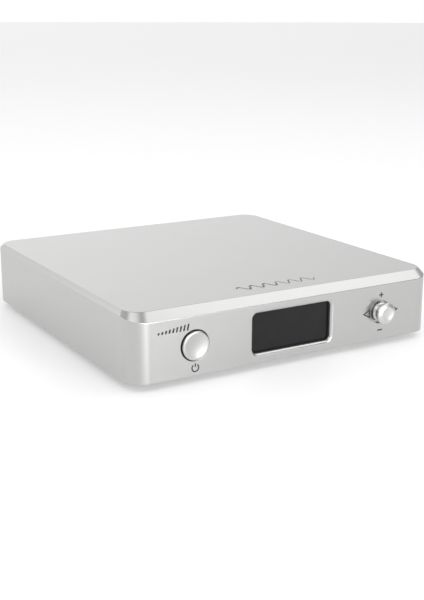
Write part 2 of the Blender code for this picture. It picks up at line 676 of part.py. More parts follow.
def make_joystick():
    """The four-way stick: knob and shaft slide in a yoke, which tilts in a ring, which tilts in its box."""
    centre = pivot("joystick_pivot", (STICK_X, depth(STICK_PIVOT_DEPTH), CONTROL_HEIGHT))
    face = -STICK_PIVOT_DEPTH
    head_rim = face - 3.7 * MM
    head_front = face - KNOB_PROUD
    hub_back = face + 2.4 * MM
    socket_radius = SHAFT_RADIUS + GAP
    socket_end = face - 1.7 * MM
    profile = dish_profile(KNOB_DISH_RADIUS, head_front, 0.3 * MM, 3)
    profile += [
        (KNOB_DISH_RADIUS + 0.25 * MM, head_front + 0.05 * MM),
        (KNOB_RADIUS, head_rim), (KNOB_RADIUS - 0.1 * MM, head_rim + 0.3 * MM),
        (KNOB_WAIST_RADIUS + 0.45 * MM, face - 2.6 * MM), (KNOB_WAIST_RADIUS, face - 1.7 * MM),
        (KNOB_WAIST_RADIUS + 0.25 * MM, face - 0.8 * MM), (KNOB_FLANGE_RADIUS, face - 0.2 * MM),
        (KNOB_FLANGE_RADIUS, face + 0.5 * MM), (3.0 * MM, face + 0.7 * MM), (3.0 * MM, hub_back),
        (socket_radius, hub_back), (socket_radius, socket_end), (0.0, socket_end),
    ]
    knob = Shape().turned(profile, "Y", steps=32)
    piece("joystick_knob", knob, "silver_aluminium", parent=centre)

    shaft_tail = 1.7 * MM
    shaft = Shape().cylinder(SHAFT_RADIUS, "Y", socket_end + GAP, shaft_tail, steps=16)
    piece("joystick_shaft", shaft, "nickel", parent=centre)

    half = RING_THICKNESS / 2
    yoke = Shape().cylinder(YOKE_RADIUS, "Y", -half, half, steps=20)
    trunnions = Shape()
    for sign in (-1, 1):
        near, far = sorted((sign * (YOKE_RADIUS - 0.5 * MM), sign * (RING_RADIUS - 0.3 * MM)))
        trunnions.cylinder(TRUNNION_RADIUS, "Z", near, far, steps=8)
    bore = Shape().cylinder(SHAFT_RADIUS + GAP, "Y", -half - WALL, half + WALL, steps=16)
    piece("joystick_yoke", yoke, "white_plastic", parent=centre, joined=trunnions, cut=bore)

    ring = Shape().cylinder(RING_RADIUS, "Y", -half, half, steps=24)
    trunnions = Shape()
    for sign in (-1, 1):
        near, far = sorted((sign * (RING_RADIUS - 0.5 * MM), sign * (STICK_CAVITY_RADIUS + 0.7 * MM)))
        trunnions.cylinder(TRUNNION_RADIUS, "X", near, far, steps=8)
    openings = Shape().cylinder(RING_HOLE_RADIUS, "Y", -half - WALL, half + WALL, steps=24)
    gimbal = piece("joystick_gimbal", ring, "black_plastic", joined=trunnions, cut=openings)
    reach = RING_RADIUS + WALL
    bearings = Shape().cylinder(TRUNNION_RADIUS + GAP / 2, "Z", -reach, reach, steps=8)
    combine(gimbal, bearings, "DIFFERENCE")
    gimbal.parent = centre

    side = STICK_HOUSING_SIDE / 2
    front = STICK_HOUSING_DEPTH - STICK_PIVOT_DEPTH
    back = FRONT_BOARD_DEPTH - GAP - STICK_PIVOT_DEPTH
    body = Shape().prism(rounded_rectangle(side, side, 1.0 * MM, 2), "Y", front, back)
    well = Shape().cylinder(STICK_CAVITY_RADIUS, "Y", front - WALL, back - 0.8 * MM, steps=24)
    housing = piece("joystick_housing", body, "black_plastic", cut=well)
    journals = Shape().cylinder(TRUNNION_RADIUS + GAP, "X", -side - WALL, side + WALL, steps=8)
    combine(housing, journals, "DIFFERENCE")
    housing.location = centre.location


def make_rear_panel():
    outline = rounded_rectangle(
        PANEL_HALF_WIDTH, (PANEL_HIGH - PANEL_LOW) / 2, 1.0 * MM, 2,
        (0.0, (PANEL_HIGH + PANEL_LOW) / 2),
    )
    plate = Shape().prism(outline, "Y", PANEL_INNER, PANEL_OUTER)
    holes = Shape()
    start = PANEL_INNER - WALL
    end = PANEL_OUTER + WALL
    for x in LINE_JACK_X.values():
        holes.cylinder(LINE_JACK_BUSH_RADIUS + GAP, "Y", start, end, (x, 0.0, SOCKET_HEIGHT), 24)
    for x in PHONO_X.values():
        holes.cylinder(PHONO_RADIUS + GAP, "Y", start, end, (x, 0.0, SOCKET_HEIGHT), 24)
    holes.cylinder(ANTENNA_RADIUS + GAP, "Y", start, end, (ANTENNA_X, 0.0, SOCKET_HEIGHT), 20)
    holes.cylinder(POWER_JACK_BORE_RADIUS + GAP, "Y", start, end, (POWER_JACK_X, 0.0, SOCKET_HEIGHT), 20)
    for sign in (-1, 1):
        centre = (sign * PANEL_SCREW_X, 0.0, SOCKET_HEIGHT)
        holes.cylinder(SCREW_HOLE_RADIUS, "Y", start, end, centre, 12)
    for x, half_width, half_height in (
        (OPTICAL_X, OPTICAL_MOUTH_HALF_WIDTH + 1.3 * MM, OPTICAL_MOUTH_HALF_HEIGHT + 1.1 * MM),
        (USB_X, USB_HALF_WIDTH, USB_HALF_HEIGHT),
    ):
        holes.box(
            (x - half_width - GAP, start, SOCKET_HEIGHT - half_height - GAP),
            (x + half_width + GAP, end, SOCKET_HEIGHT + half_height + GAP),
        )
    piece("rear_panel", plate, "silver_aluminium", cut=holes)


def make_line_jacks():
    """The balanced line outputs: a box on the board, a bush through the panel and a nut on the bush."""
    bush_end = PANEL_OUTER + LINE_JACK_BUSH_PROUD - BEHIND_PANEL
    bore_end = LINE_JACK_END_WALL - LINE_JACK_BODY_LENGTH
    for side, x in LINE_JACK_X.items():
        location = (x, BEHIND_PANEL, SOCKET_HEIGHT)
        floor = ON_BOARD - SOCKET_HEIGHT
        body = Shape().box(
            (-LINE_JACK_HALF_WIDTH, -LINE_JACK_BODY_LENGTH, floor),
            (LINE_JACK_HALF_WIDTH, 0.0, LINE_JACK_ABOVE),
        )
        bush = Shape().cylinder(LINE_JACK_BUSH_RADIUS, "Y", -WALL, bush_end, steps=24)
        bore = Shape().cylinder(LINE_JACK_BORE_RADIUS, "Y", bore_end, bush_end + WALL, steps=20)
        piece(f"line_jack_{side}", body, "black_plastic", location, joined=bush, cut=bore)
        nut = Shape().prism(hexagon(LINE_JACK_NUT_RADIUS), "Y", 0.0, LINE_JACK_NUT_THICKNESS)
        bore = Shape().cylinder(
            LINE_JACK_BUSH_RADIUS + GAP, "Y", -WALL, LINE_JACK_NUT_THICKNESS + WALL, steps=24
        )
        location = (x, PANEL_OUTER + GAP, SOCKET_HEIGHT)
        piece(f"line_jack_nut_{side}", nut, "nickel", location, cut=bore)


def make_phono_sockets():
    """Each phono socket: a metal sleeve through the panel and a moulded body with the centre hole."""
    inserts = {"rca_out_left": "white_plastic", "rca_out_right": "red_plastic", "coax_in": "black_plastic"}
    tip = CASE_REAR + SOCKET_PROUD
    inner = PHONO_RADIUS - PHONO_WALL
    for name, x in PHONO_X.items():
        flange_back = PANEL_OUTER + GAP
        sleeve = Shape().turned([
            (inner, BEHIND_PANEL + 0.1 * MM), (PHONO_RADIUS, BEHIND_PANEL + 0.1 * MM),
            (PHONO_RADIUS, flange_back), (PHONO_RADIUS + 0.75 * MM, flange_back),
            (PHONO_RADIUS + 0.75 * MM, flange_back + 0.9 * MM), (PHONO_RADIUS, flange_back + 0.9 * MM),
            (PHONO_RADIUS, tip - 0.3 * MM), (PHONO_RADIUS - 0.3 * MM, tip), (inner, tip),
        ], "Y", (x, 0.0, SOCKET_HEIGHT), 24)
        piece(name, sleeve, "gold")
        body = Shape().box(
            (x - 5.0 * MM, BEHIND_PANEL - 11.0 * MM, ON_BOARD),
            (x + 5.0 * MM, BEHIND_PANEL - GAP, SOCKET_HEIGHT + 5.2 * MM),
        )
        centre = (x, 0.0, SOCKET_HEIGHT)
        nose = Shape().cylinder(inner - GAP, "Y", BEHIND_PANEL - WALL, tip - 0.6 * MM, centre, 24)
        hole = Shape().cylinder(1.6 * MM, "Y", BEHIND_PANEL - 6.0 * MM, tip + WALL, centre, 16)
        piece(f"{name}_insert", body, inserts[name], joined=nose, cut=hole)


def make_optical_socket():
    """The optical input with its spring shutter, which hangs from a pin across the top of the mouth."""
    mouth = PANEL_OUTER + 1.1 * MM
    half_width = OPTICAL_MOUTH_HALF_WIDTH + 1.3 * MM
    top = SOCKET_HEIGHT + OPTICAL_MOUTH_HALF_HEIGHT + 1.1 * MM
    front = mouth - 12.0 * MM
    body = Shape().box(
        (OPTICAL_X - half_width, front, ON_BOARD), (OPTICAL_X + half_width, BEHIND_PANEL, top)
    )
    bezel = Shape().box(
        (OPTICAL_X - half_width, BEHIND_PANEL - WALL, 2 * SOCKET_HEIGHT - top),
        (OPTICAL_X + half_width, mouth, top),
    )
    pin_height = SOCKET_HEIGHT + OPTICAL_MOUTH_HALF_HEIGHT - 0.7 * MM
    pin_y = mouth - 0.9 * MM
    hollow = Shape().box(
        (OPTICAL_X - OPTICAL_MOUTH_HALF_WIDTH, mouth - 9.6 * MM, SOCKET_HEIGHT - OPTICAL_MOUTH_HALF_HEIGHT),
        (OPTICAL_X + OPTICAL_MOUTH_HALF_WIDTH, mouth + WALL, SOCKET_HEIGHT + OPTICAL_MOUTH_HALF_HEIGHT),
    )
    socket = piece("optical_socket", body, "black_plastic", joined=bezel, cut=hollow)
    pin_hole_end = OPTICAL_MOUTH_HALF_WIDTH + 0.6 * MM
    pin_holes = Shape().cylinder(
        0.5 * MM + GAP, "X", -pin_hole_end, pin_hole_end, (OPTICAL_X, pin_y, pin_height), 8
    )
    combine(socket, pin_holes, "DIFFERENCE")

    hinge = pivot("optical_shutter_pivot", (OPTICAL_X, pin_y, pin_height))
    half = SHUTTER_THICKNESS / 2
    flap = Shape().box((-SHUTTER_HALF_WIDTH, -half, -SHUTTER_LENGTH), (SHUTTER_HALF_WIDTH, half, 0.0))
    pin_end = OPTICAL_MOUTH_HALF_WIDTH + 0.3 * MM
    pin = Shape().cylinder(0.5 * MM, "X", -pin_end, pin_end, steps=8)
    piece("optical_shutter", flap, "grey_plastic", parent=hinge, joined=pin)


def make_usb_socket():
    """The square computer input: a folded steel shell around a moulded block with the contact tongue."""
    mouth = PANEL_OUTER + 0.8 * MM
    shell_front = mouth - 16.0 * MM
    sheet = 0.4 * MM
    low = SOCKET_HEIGHT - USB_HALF_HEIGHT
    high = SOCKET_HEIGHT + USB_HALF_HEIGHT
    shell = Shape().box((USB_X - USB_HALF_WIDTH, shell_front, low), (USB_X + USB_HALF_WIDTH, mouth, high))
    inside = Shape().box(
        (USB_X - USB_HALF_WIDTH + sheet, shell_front + sheet, low + sheet),
        (USB_X + USB_HALF_WIDTH - sheet, mouth + WALL, high - sheet),
    )
    piece("usb_socket", shell, "nickel", cut=inside)
    clear = sheet + GAP
    block = Shape().box(
        (USB_X - USB_HALF_WIDTH + clear, shell_front + clear, low + clear),
        (USB_X + USB_HALF_WIDTH - clear, mouth - 0.4 * MM, high - clear),
    )
    mouth_half = 4.2 * MM
    bevel = 1.6 * MM
    outline = [
        (USB_X - mouth_half, SOCKET_HEIGHT - 3.9 * MM), (USB_X + mouth_half, SOCKET_HEIGHT - 3.9 * MM),
        (USB_X + mouth_half, SOCKET_HEIGHT + 3.9 * MM - bevel),
        (USB_X + mouth_half - bevel, SOCKET_HEIGHT + 3.9 * MM),
        (USB_X - mouth_half + bevel, SOCKET_HEIGHT + 3.9 * MM),
        (USB_X - mouth_half, SOCKET_HEIGHT + 3.9 * MM - bevel),
    ]
    hollow = Shape().prism(outline, "Y", mouth - 10.0 * MM, mouth + WALL)
    insert = piece("usb_socket_insert", block, "black_plastic", cut=hollow)
    tongue = Shape().box(
        (USB_X - 2.8 * MM, mouth - 10.5 * MM, SOCKET_HEIGHT - 1.6 * MM),
        (USB_X + 2.8 * MM, mouth - 1.2 * MM, SOCKET_HEIGHT + 1.6 * MM),
    )
    combine(insert, tongue, "UNION")


def make_antenna_socket():
    """The threaded aerial socket: a square foot on the board and a barrel through the panel."""
    end = PANEL_OUTER + 8.0 * MM
    centre = (ANTENNA_X, 0.0, SOCKET_HEIGHT)
    foot = Shape().box(
        (ANTENNA_X - 3.6 * MM, BEHIND_PANEL - 5.0 * MM, ON_BOARD),
        (ANTENNA_X + 3.6 * MM, BEHIND_PANEL, SOCKET_HEIGHT + 3.6 * MM),
    )
    barrel = Shape().cylinder(ANTENNA_RADIUS, "Y", BEHIND_PANEL - WALL, end, centre, 20)
    bore = Shape().cylinder(1.9 * MM, "Y", end - 5.0 * MM, end + WALL, centre, 16)
    piece("antenna_socket", foot, "gold", joined=barrel, cut=bore)


def make_power_jack():
    """The direct-current inlet: a moulded box with a bore, and the centre pin standing in it."""
    length = 14.0 * MM
    bore_front = BEHIND_PANEL - 10.0 * MM
    body = Shape().box(
        (POWER_JACK_X - 4.5 * MM, BEHIND_PANEL - length, ON_BOARD),
        (POWER_JACK_X + 4.5 * MM, BEHIND_PANEL, SOCKET_HEIGHT + 5.0 * MM),
    )
    centre = (POWER_JACK_X, 0.0, SOCKET_HEIGHT)
    hollow = Shape().turned([
        (0.0, bore_front - 2.0 * MM), (1.3 * MM, bore_front - 2.0 * MM), (1.3 * MM, bore_front),
        (POWER_JACK_BORE_RADIUS, bore_front), (POWER_JACK_BORE_RADIUS, CASE_REAR), (0.0, CASE_REAR),
    ], "Y", centre, 20)
    piece("power_jack", body, "black_plastic", cut=hollow)
    pin = Shape().turned([
        (0.0, bore_front - 1.7 * MM), (1.0 * MM, bore_front - 1.7 * MM),
        (1.0 * MM, BEHIND_PANEL - 0.8 * MM), (0.5 * MM, BEHIND_PANEL - 0.2 * MM),
        (0.0, BEHIND_PANEL - 0.2 * MM),
    ], "Y", centre, 12)
    piece("power_jack_pin", pin, "nickel")


def make_board_parts():
    """The larger parts soldered to the main board, from the inputs at the left to the outputs."""
    blocks = (
        # name, centre X, depth of the front edge, width, length, height, look
        ("receiver_chip", -26.0, 86.0, 14.0, 14.0, 1.4, "black_plastic"),
        ("wireless_module", -40.5, 103.5, 13.0, 17.0, 2.2, "nickel"),
        ("clock_module", -24.0, 62.0, 16.0, 12.0, 4.0, "nickel"),
        ("dac_chip", 10.0, 62.0, 10.0, 10.0, 1.2, "black_plastic"),
        ("output_relay_left", 40.0, 82.0, 7.5, 15.0, 10.0, "white_plastic"),
        ("output_relay_right", 30.0, 82.0, 7.5, 15.0, 10.0, "white_plastic"),
    )
    for name, x, front, width, length, height, look in blocks:
        low = (x * MM - width * MM / 2, depth(front * MM), ON_BOARD)
        high = (x * MM + width * MM / 2, depth((front + length) * MM), ON_BOARD + height * MM)
        piece(name, Shape().box(low, high), look)
    for index in range(4):
        column, row = index % 2, index // 2
        location = ((-44.0 + 11.0 * column) * MM, depth((40.0 + 11.0 * row) * MM), ON_BOARD)
        can = Shape().turned([
            (0.0, 0.0), (4.0 * MM, 0.0), (4.0 * MM, 0.8 * MM), (3.7 * MM, 1.2 * MM),
            (4.0 * MM, 1.6 * MM), (4.0 * MM, 11.2 * MM), (3.7 * MM, 11.5 * MM), (0.0, 11.5 * MM),
        ], "Z", steps=16)
        piece(f"reservoir_capacitor_{index + 1}", can, "grey_plastic", location)


def main():
    clear_scene()
    make_case()
    make_bottom_plate()
    make_feet()
    make_screws()
    make_boards()
    make_ribbon_cable()
    make_display()
    make_power_button()
    make_joystick()
    make_rear_panel()
    make_line_jacks()
    make_phono_sockets()
    make_optical_socket()
    make_usb_socket()
    make_antenna_socket()
    make_power_jack()
    make_board_parts()


main()
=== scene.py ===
"""The looks of a desktop digital-to-analogue converter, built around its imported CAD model.

Shapes are worked out in millimetres and made in metres. The front faces -Y, +X is to the right as
seen from the front and +Z is up. The origin is on the floor, under the middle of the object.
"""

import json
import math

import bmesh
import bpy
from mathutils import Matrix, Vector


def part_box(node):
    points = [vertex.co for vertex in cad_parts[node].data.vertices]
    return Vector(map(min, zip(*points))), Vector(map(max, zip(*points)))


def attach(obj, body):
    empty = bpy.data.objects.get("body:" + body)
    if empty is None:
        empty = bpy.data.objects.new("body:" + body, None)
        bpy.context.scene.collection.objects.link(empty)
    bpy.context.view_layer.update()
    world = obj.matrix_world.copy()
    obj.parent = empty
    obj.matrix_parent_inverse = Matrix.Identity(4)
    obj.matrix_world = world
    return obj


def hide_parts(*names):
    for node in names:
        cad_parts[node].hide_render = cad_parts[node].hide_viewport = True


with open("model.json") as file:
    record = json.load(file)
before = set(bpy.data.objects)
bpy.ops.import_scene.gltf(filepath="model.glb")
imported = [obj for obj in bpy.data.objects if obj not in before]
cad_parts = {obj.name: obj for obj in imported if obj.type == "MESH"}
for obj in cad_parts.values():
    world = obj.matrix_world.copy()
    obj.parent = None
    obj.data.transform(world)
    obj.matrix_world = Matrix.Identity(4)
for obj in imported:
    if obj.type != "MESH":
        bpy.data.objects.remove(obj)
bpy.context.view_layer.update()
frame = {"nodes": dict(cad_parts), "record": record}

MM = 0.001
SIDES = ("left", "right")
CORNERS = ("front_left", "front_right", "rear_left", "rear_right")

# How deep a sign reaches into its face, and how far it stands out of it
SINK = 0.05
PRINT_PROUD = 0.03


def box_mm(node):
    """Lowest and highest corners of a CAD node, in millimetres."""
    low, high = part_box(node)
    return low / MM, high / MM


def middle(node):
    low, high = box_mm(node)
    return (low + high) / 2


# Case
CASE_LOW, CASE_HIGH = box_mm("top_shell")
HALF_WIDTH = CASE_HIGH.x
FRONT = CASE_LOW.y
REAR = CASE_HIGH.y
UNDERSIDE = CASE_LOW.z
TOP = CASE_HIGH.z
CORNER_RADIUS = 7.8
TOP_CORNER_RADIUS = 7.0
WALL = 2.0
FRONT_WALL = 3.5
FRONT_CHAMFER_DEPTH = 2.75
FRONT_CHAMFER_DROP = 3.6
SIDE_CHAMFER = 1.6
CHAMFER_FADE = 0.6
EDGE_ROUND = 0.2
CEILING = TOP - WALL

# The line on the top, which waves in steps and then smoothly
MOTIF_DEPTH = 0.12
MOTIF_HALF_LENGTH = 18.0
MOTIF_HEIGHT = 4.4
MOTIF_Y = FRONT + 12.2
MOTIF_WAVES = 3
MOTIF_STEPS = 8
MOTIF_CURVE_STEPS = 20
MOTIF_STROKE = 0.5

# Front
CONTROL_HEIGHT = middle("display_glass").z
GLASS_LOW, GLASS_HIGH = box_mm("display_glass")
GLASS_LAP = 1.7
WINDOW_HALF_WIDTH = GLASS_HIGH.x - GLASS_LAP
WINDOW_HALF_HEIGHT = (GLASS_HIGH.z - GLASS_LOW.z) / 2 - GLASS_LAP
WINDOW_RADIUS = 2.0
WINDOW_LIP = 1.3
REBATE_GAP = 0.3
BUTTON_X = middle("power_button").x
BUTTON_RADIUS = 5.65
BUTTON_HOLE_RADIUS = 6.0
BUTTON_DISH_RADIUS = 4.95
BUTTON_DISH_SAG = 0.5
BUTTON_FLANGE_RADIUS = 7.0
BUTTON_STEM_RADIUS = 1.9
HOLE_LIP = 0.25
STICK_X = middle("joystick_shaft").x
STICK_HOLE_RADIUS = 4.75
STICK_LIP_DEPTH = 1.2
STICK_WELL_RADIUS = 7.2
KNOB_RADIUS = 4.57
KNOB_DISH_RADIUS = 3.0
KNOB_DISH_SAG = 0.35
KNOB_WAIST_RADIUS = 3.3
KNOB_FLANGE_RADIUS = 4.0
KNOB_HUB_RADIUS = 3.0
KNOB_BORE_RADIUS = 1.7
KNOB_BORE_END = 3.0

# Signs on the front
MARK_STROKE = 0.52
BARS = 9
BARS_LEFT = -59.0
BARS_WIDTH = 11.9
BARS_LOW = CONTROL_HEIGHT + 6.2
BARS_HEIGHT = 2.5
BARS_LEAN = 0.22
SHORTEST_BAR = 0.35
BAR_THICKNESS = 0.7
POWER_SIGN_BELOW = 8.7
POWER_SIGN_RADIUS = 1.4
POWER_SIGN_RISE = 0.35
PLUS_ABOVE = 7.15
PLUS_ARM = 1.05
MINUS_BELOW = 7.7
MINUS_ARM = 1.2
ARROW_TIP = 8.6
ARROW_BASE = 5.6
ARROW_HALF_HEIGHT = 1.6

# Rear
PANEL_LOW, PANEL_HIGH = box_mm("rear_panel")
PANEL_OUTER = PANEL_HIGH.y
PANEL_INNER = PANEL_LOW.y
SOCKET_HEIGHT = middle("rca_out_left").z
REAR_OPENING_HALF_WIDTH = 61.0
REAR_OPENING_LOW = UNDERSIDE + 2.2
REAR_OPENING_HIGH = TOP - 3.4
REAR_OPENING_RADIUS = 2.5
REAR_OPENING_LIP = 0.4
PANEL_LIP = 0.15
SOCKET_GAP = 0.3
SOCKET_MOUTH_DEPTH = 9.6
JACK_HOLE_RADIUS = 5.7
JACK_BUSH_RADIUS = 5.4
JACK_BORE_RADIUS = 3.25
PHONO_HOLE_RADIUS = 4.45
PHONO_SLEEVE_RADIUS = 4.15
SMALL_HOLE_RADIUS = 3.45
PANEL_SCREW_HOLE_RADIUS = 1.5
HEX_SOCKET_RADIUS = 0.95
OPTICAL_HALF_WIDTH = 3.4
OPTICAL_HALF_HEIGHT = 3.5
FLAP_HALF_WIDTH = 3.0
FLAP_HALF_THICKNESS = 0.4
USB_MOUTH_HALF_WIDTH = 4.2
USB_MOUTH_HALF_HEIGHT = 3.9
USB_MOUTH_BEVEL = 1.6
AERIAL_BARREL_RADIUS = 3.15
AERIAL_BORE_RADIUS = 1.9
SIGN_STROKE = 0.22
SIGN_HEIGHT = SOCKET_HEIGHT + 8.3

# Underside
PLATE_THICKNESS = 1.5
FOOT_HOLE_RADIUS = 7.3
SCREW_HOLE_RADIUS = 1.5

# Camera and light
CAMERA_PLACE = (-220.05, -380.37, 132.55)
CAMERA_AZIMUTH = -30.68
CAMERA_ELEVATION = 15.78
CAMERA_ROLL = 0.17
LENS = 61.5
FLOOR_RADIUS = 12000.0
FLOOR_GLOW = 0.27
WORLD_LIGHT = 0.65
PATCH_FALLOFF = 4.0
WORLD_PATCHES = [
    # azimuth, elevation, strength
    (58.0, -20.0, -0.5),
    (168.0, 15.0, 0.58),
]
SOFTBOX_DISTANCE = 1.3
SOFTBOXES = [
    # name, azimuth, elevation, width, height, radiance
    ("front", 0.0, 14.0, 1.0, 0.6, 2.8),
    ("front_core", 8.0, 11.0, 0.5, 0.5, 5.2),
    ("left_rear", -120.0, 18.0, 1.8, 0.8, 0.55),
    ("right_high", 60.0, 48.0, 1.0, 0.8, 0.95),
    ("left_high", -60.0, 50.0, 1.0, 0.8, 0.9),
]


# ---------------- outlines

def rounded_rectangle(half_width, half_height, radius, steps=8, centre=(0.0, 0.0)):
    """Points of a rectangle with arcs at its corners, counter-clockwise from the lower right."""
    points = []
    for side_x, side_y, start in ((1, -1, -90), (1, 1, 0), (-1, 1, 90), (-1, -1, 180)):
        for step in range(steps + 1):
            angle = math.radians(start + 90 * step / steps)
            x = centre[0] + side_x * (half_width - radius) + radius * math.cos(angle)
            y = centre[1] + side_y * (half_height - radius) + radius * math.sin(angle)
            points.append((x, y))
    return points


def circle(radius, steps=64, centre=(0.0, 0.0), start=0.0):
    """Points of a regular polygon or a circle, counter-clockwise from the start angle in degrees."""
    angles = [math.radians(start) + math.tau * step / steps for step in range(steps)]
    return [(centre[0] + radius * math.cos(a), centre[1] + radius * math.sin(a)) for a in angles]


def rounded(points, reach, steps=4):
    """A line of points with each inner corner replaced by a curve that starts reach before it."""
    made = [Vector(points[0])]
    for before, corner, after in zip(points, points[1:], points[2:]):
        corner, before, after = Vector(corner), Vector(before), Vector(after)
        near = min(reach, (before - corner).length / 2, (after - corner).length / 2)
        start = corner + (before - corner).normalized() * near
        end = corner + (after - corner).normalized() * near
        for step in range(steps + 1):
            t = step / steps
            made.append(start * (1 - t) ** 2 + corner * 2 * t * (1 - t) + end * t * t)
    made.append(Vector(points[-1]))
    return [tuple(point) for point in made]


def rounded_loop(points, reach):
    """A closed line with all its corners rounded."""
    return rounded([points[-1], *points, points[0]], reach)[1:-1]


def tube(start, end, outside, inside=0.0):
    """The profile of a tube or, with no inside radius, of a rod."""
    return [(inside, start), (outside, start), (outside, end), (inside, end)]


def offset(points, distance, closed=True):
    """The line moved sideways by a distance, to the right of its direction, with mitred corners."""
    made = []
    count = len(points)
    for index, point in enumerate(points):
        here = Vector(point)
        before = Vector(points[index - 1]) if closed or index > 0 else None
        after = Vector(points[(index + 1) % count]) if closed or index < count - 1 else None
        runs = [(here - before).normalized()] if before else []
        runs += [(after - here).normalized()] if after else []
        normals = [Vector((run.y, -run.x)) for run in runs]
        mitre = sum(normals, Vector((0.0, 0.0))).normalized()
        made.append(tuple(here + mitre * distance / max(mitre.dot(normals[0]), 0.3)))
    return made


def stroke(points, width):
    """The outline of a line drawn with a pen of this width."""
    right = offset(points, width / 2, closed=False)
    left = offset(points, -width / 2, closed=False)
    return right + left[::-1]


def arc(radius, start, end, steps=24, centre=(0.0, 0.0)):
    """Points of an arc between two angles in degrees."""
    angles = [math.radians(start + (end - start) * step / steps) for step in range(steps + 1)]
    return [(centre[0] + radius * math.cos(a), centre[1] + radius * math.sin(a)) for a in angles]


# ---------------- solids

def place_on(axis, a, b, along):
    """The point with these two flat coordinates, at a distance along an axis."""
    return {"X": (along, a, b), "Y": (a, along, b), "Z": (a, b, along)}[axis]


class Solid:
    """A mesh of one or more closed bodies, in millimetres."""

    def __init__(self):
        self.mesh = bmesh.new()

    def skin(self, rings, capped=True):
        """Joins rings with the same number of points, then closes the ends or joins last to first."""
        rows = [[self.mesh.verts.new(point) for point in ring] for ring in rings]
        pairs = list(zip(rows, rows[1:]))
        if not capped:
            pairs.append((rows[-1], rows[0]))
        for lower, upper in pairs:
            for index in range(len(lower)):
                after = (index + 1) % len(lower)
                self.mesh.faces.new((lower[index], lower[after], upper[after], upper[index]))
        if capped:
            self.mesh.faces.new(rows[0])
            self.mesh.faces.new(rows[-1])
        return self

    def prism(self, outline, axis, start, end, edge=0.0):
        """Extrudes an outline. With an edge, its far rim is eased inwards by that much."""
        levels = [(start, 0.0), (end, 0.0)]
        if edge:
            turn = math.copysign(edge, end - start)
            levels = [(start, 0.0), (end - turn, 0.0), (end - turn * 0.3, edge * 0.3), (end, edge)]
        area = sum(p[0] * q[1] - q[0] * p[1] for p, q in zip(outline, outline[1:] + outline[:1]))
        inward = -1.0 if area > 0 else 1.0
        rings = []
        for along, inset in levels:
            flat = offset(outline, inward * inset) if inset else outline
            rings.append([place_on(axis, a, b, along) for a, b in flat])
        return self.skin(rings)

    def band(self, outer, inner, axis, start, end):
        """Extrudes the space between two outlines that have the same number of points."""
        corners = ((outer, start), (outer, end), (inner, end), (inner, start))
        rings = [[place_on(axis, a, b, along) for a, b in flat] for flat, along in corners]
        return self.skin(rings, capped=False)

    def turned(self, profile, axis="Y", centre=(0.0, 0.0, 0.0), steps=64):
        """Spins (radius, distance along the axis) points into a closed body."""
        rows = []
        for radius, along in profile:
            count = steps if radius > 0 else 1
            flat = circle(radius, count)
            rows.append([
                self.mesh.verts.new(Vector(centre) + Vector(place_on(axis, a, b, along)))
                for a, b in flat
            ])
        if profile[0][0] > 0:
            rows.append(rows[0])
        for lower, upper in zip(rows, rows[1:]):
            for index in range(steps):
                after = (index + 1) % steps
                corners = (
                    lower[index % len(lower)], lower[after % len(lower)],
                    upper[after % len(upper)], upper[index % len(upper)],
                )
                self.mesh.faces.new(list(dict.fromkeys(corners)))
        return self

    def box(self, low, high):
        size = Vector(high) - Vector(low)
        made = bmesh.ops.create_cube(self.mesh, size=1.0)
        bmesh.ops.scale(self.mesh, vec=size, verts=made["verts"])
        bmesh.ops.translate(self.mesh, vec=(Vector(high) + Vector(low)) / 2, verts=made["verts"])
        return self

    def soften(self, width, segments=2, angle=35):
        """Rounds every edge that turns by more than this angle."""
        bmesh.ops.recalc_face_normals(self.mesh, faces=self.mesh.faces)
        sharp = [edge for edge in self.mesh.edges if edge.calc_face_angle(0.0) > math.radians(angle)]
        bmesh.ops.bevel(
            self.mesh, geom=sharp, offset=width, segments=segments, profile=0.5, affect="EDGES"
        )
        return self

    def to_object(self, name):
        bmesh.ops.recalc_face_normals(self.mesh, faces=self.mesh.faces)
        bmesh.ops.scale(self.mesh, vec=(MM, MM, MM), verts=self.mesh.verts)
        data = bpy.data.meshes.new(name)
        self.mesh.to_mesh(data)
        self.mesh.free()
        thing = bpy.data.objects.new(name, data)
        bpy.context.scene.collection.objects.link(thing)
        return thing


def combine(thing, tool, operation):
    """Cuts or joins a piece with a tool shape, and drops the tool."""
    tool_object = tool.to_object("tool")
    modifier = thing.modifiers.new("combine", "BOOLEAN")
    modifier.object = tool_object
    modifier.operation = operation
    modifier.solver = "EXACT"
    bpy.context.view_layer.update()
    evaluated = thing.evaluated_get(bpy.context.evaluated_depsgraph_get())
    old = thing.data
    thing.data = bpy.data.meshes.new_from_object(evaluated)
    thing.modifiers.clear()
    thing.data.name = thing.name
    bpy.data.meshes.remove(old)
    bpy.data.objects.remove(tool_object, do_unlink=True)


def dress(thing, slot, body="chassis", stands_for=(), look="", smooth=32):
    """Gives a finished mesh its look and shading, and puts it on a body of the frame."""
    thing.data.materials.clear()
    thing.data.materials.append(LOOKS[look or slot])
    thing.data.shade_smooth()
    thing.data.set_sharp_from_angle(angle=math.radians(smooth))
    normals = thing.modifiers.new("flat_faces_stay_flat", "WEIGHTED_NORMAL")
    normals.weight = 100
    normals.keep_sharp = True
    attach(thing, body)
    if stands_for:
        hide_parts(*stands_for)
    return thing


def piece(name, solid, slot, body="chassis", stands_for=(), joined=None, cut=None, look=""):
    """Makes one visible piece, with further bodies joined on and hollows cut out."""
    thing = solid.to_object(name)
    if joined:
        combine(thing, joined, "UNION")
    if cut:
        combine(thing, cut, "DIFFERENCE")
    return dress(thing, slot, body, stands_for, look)


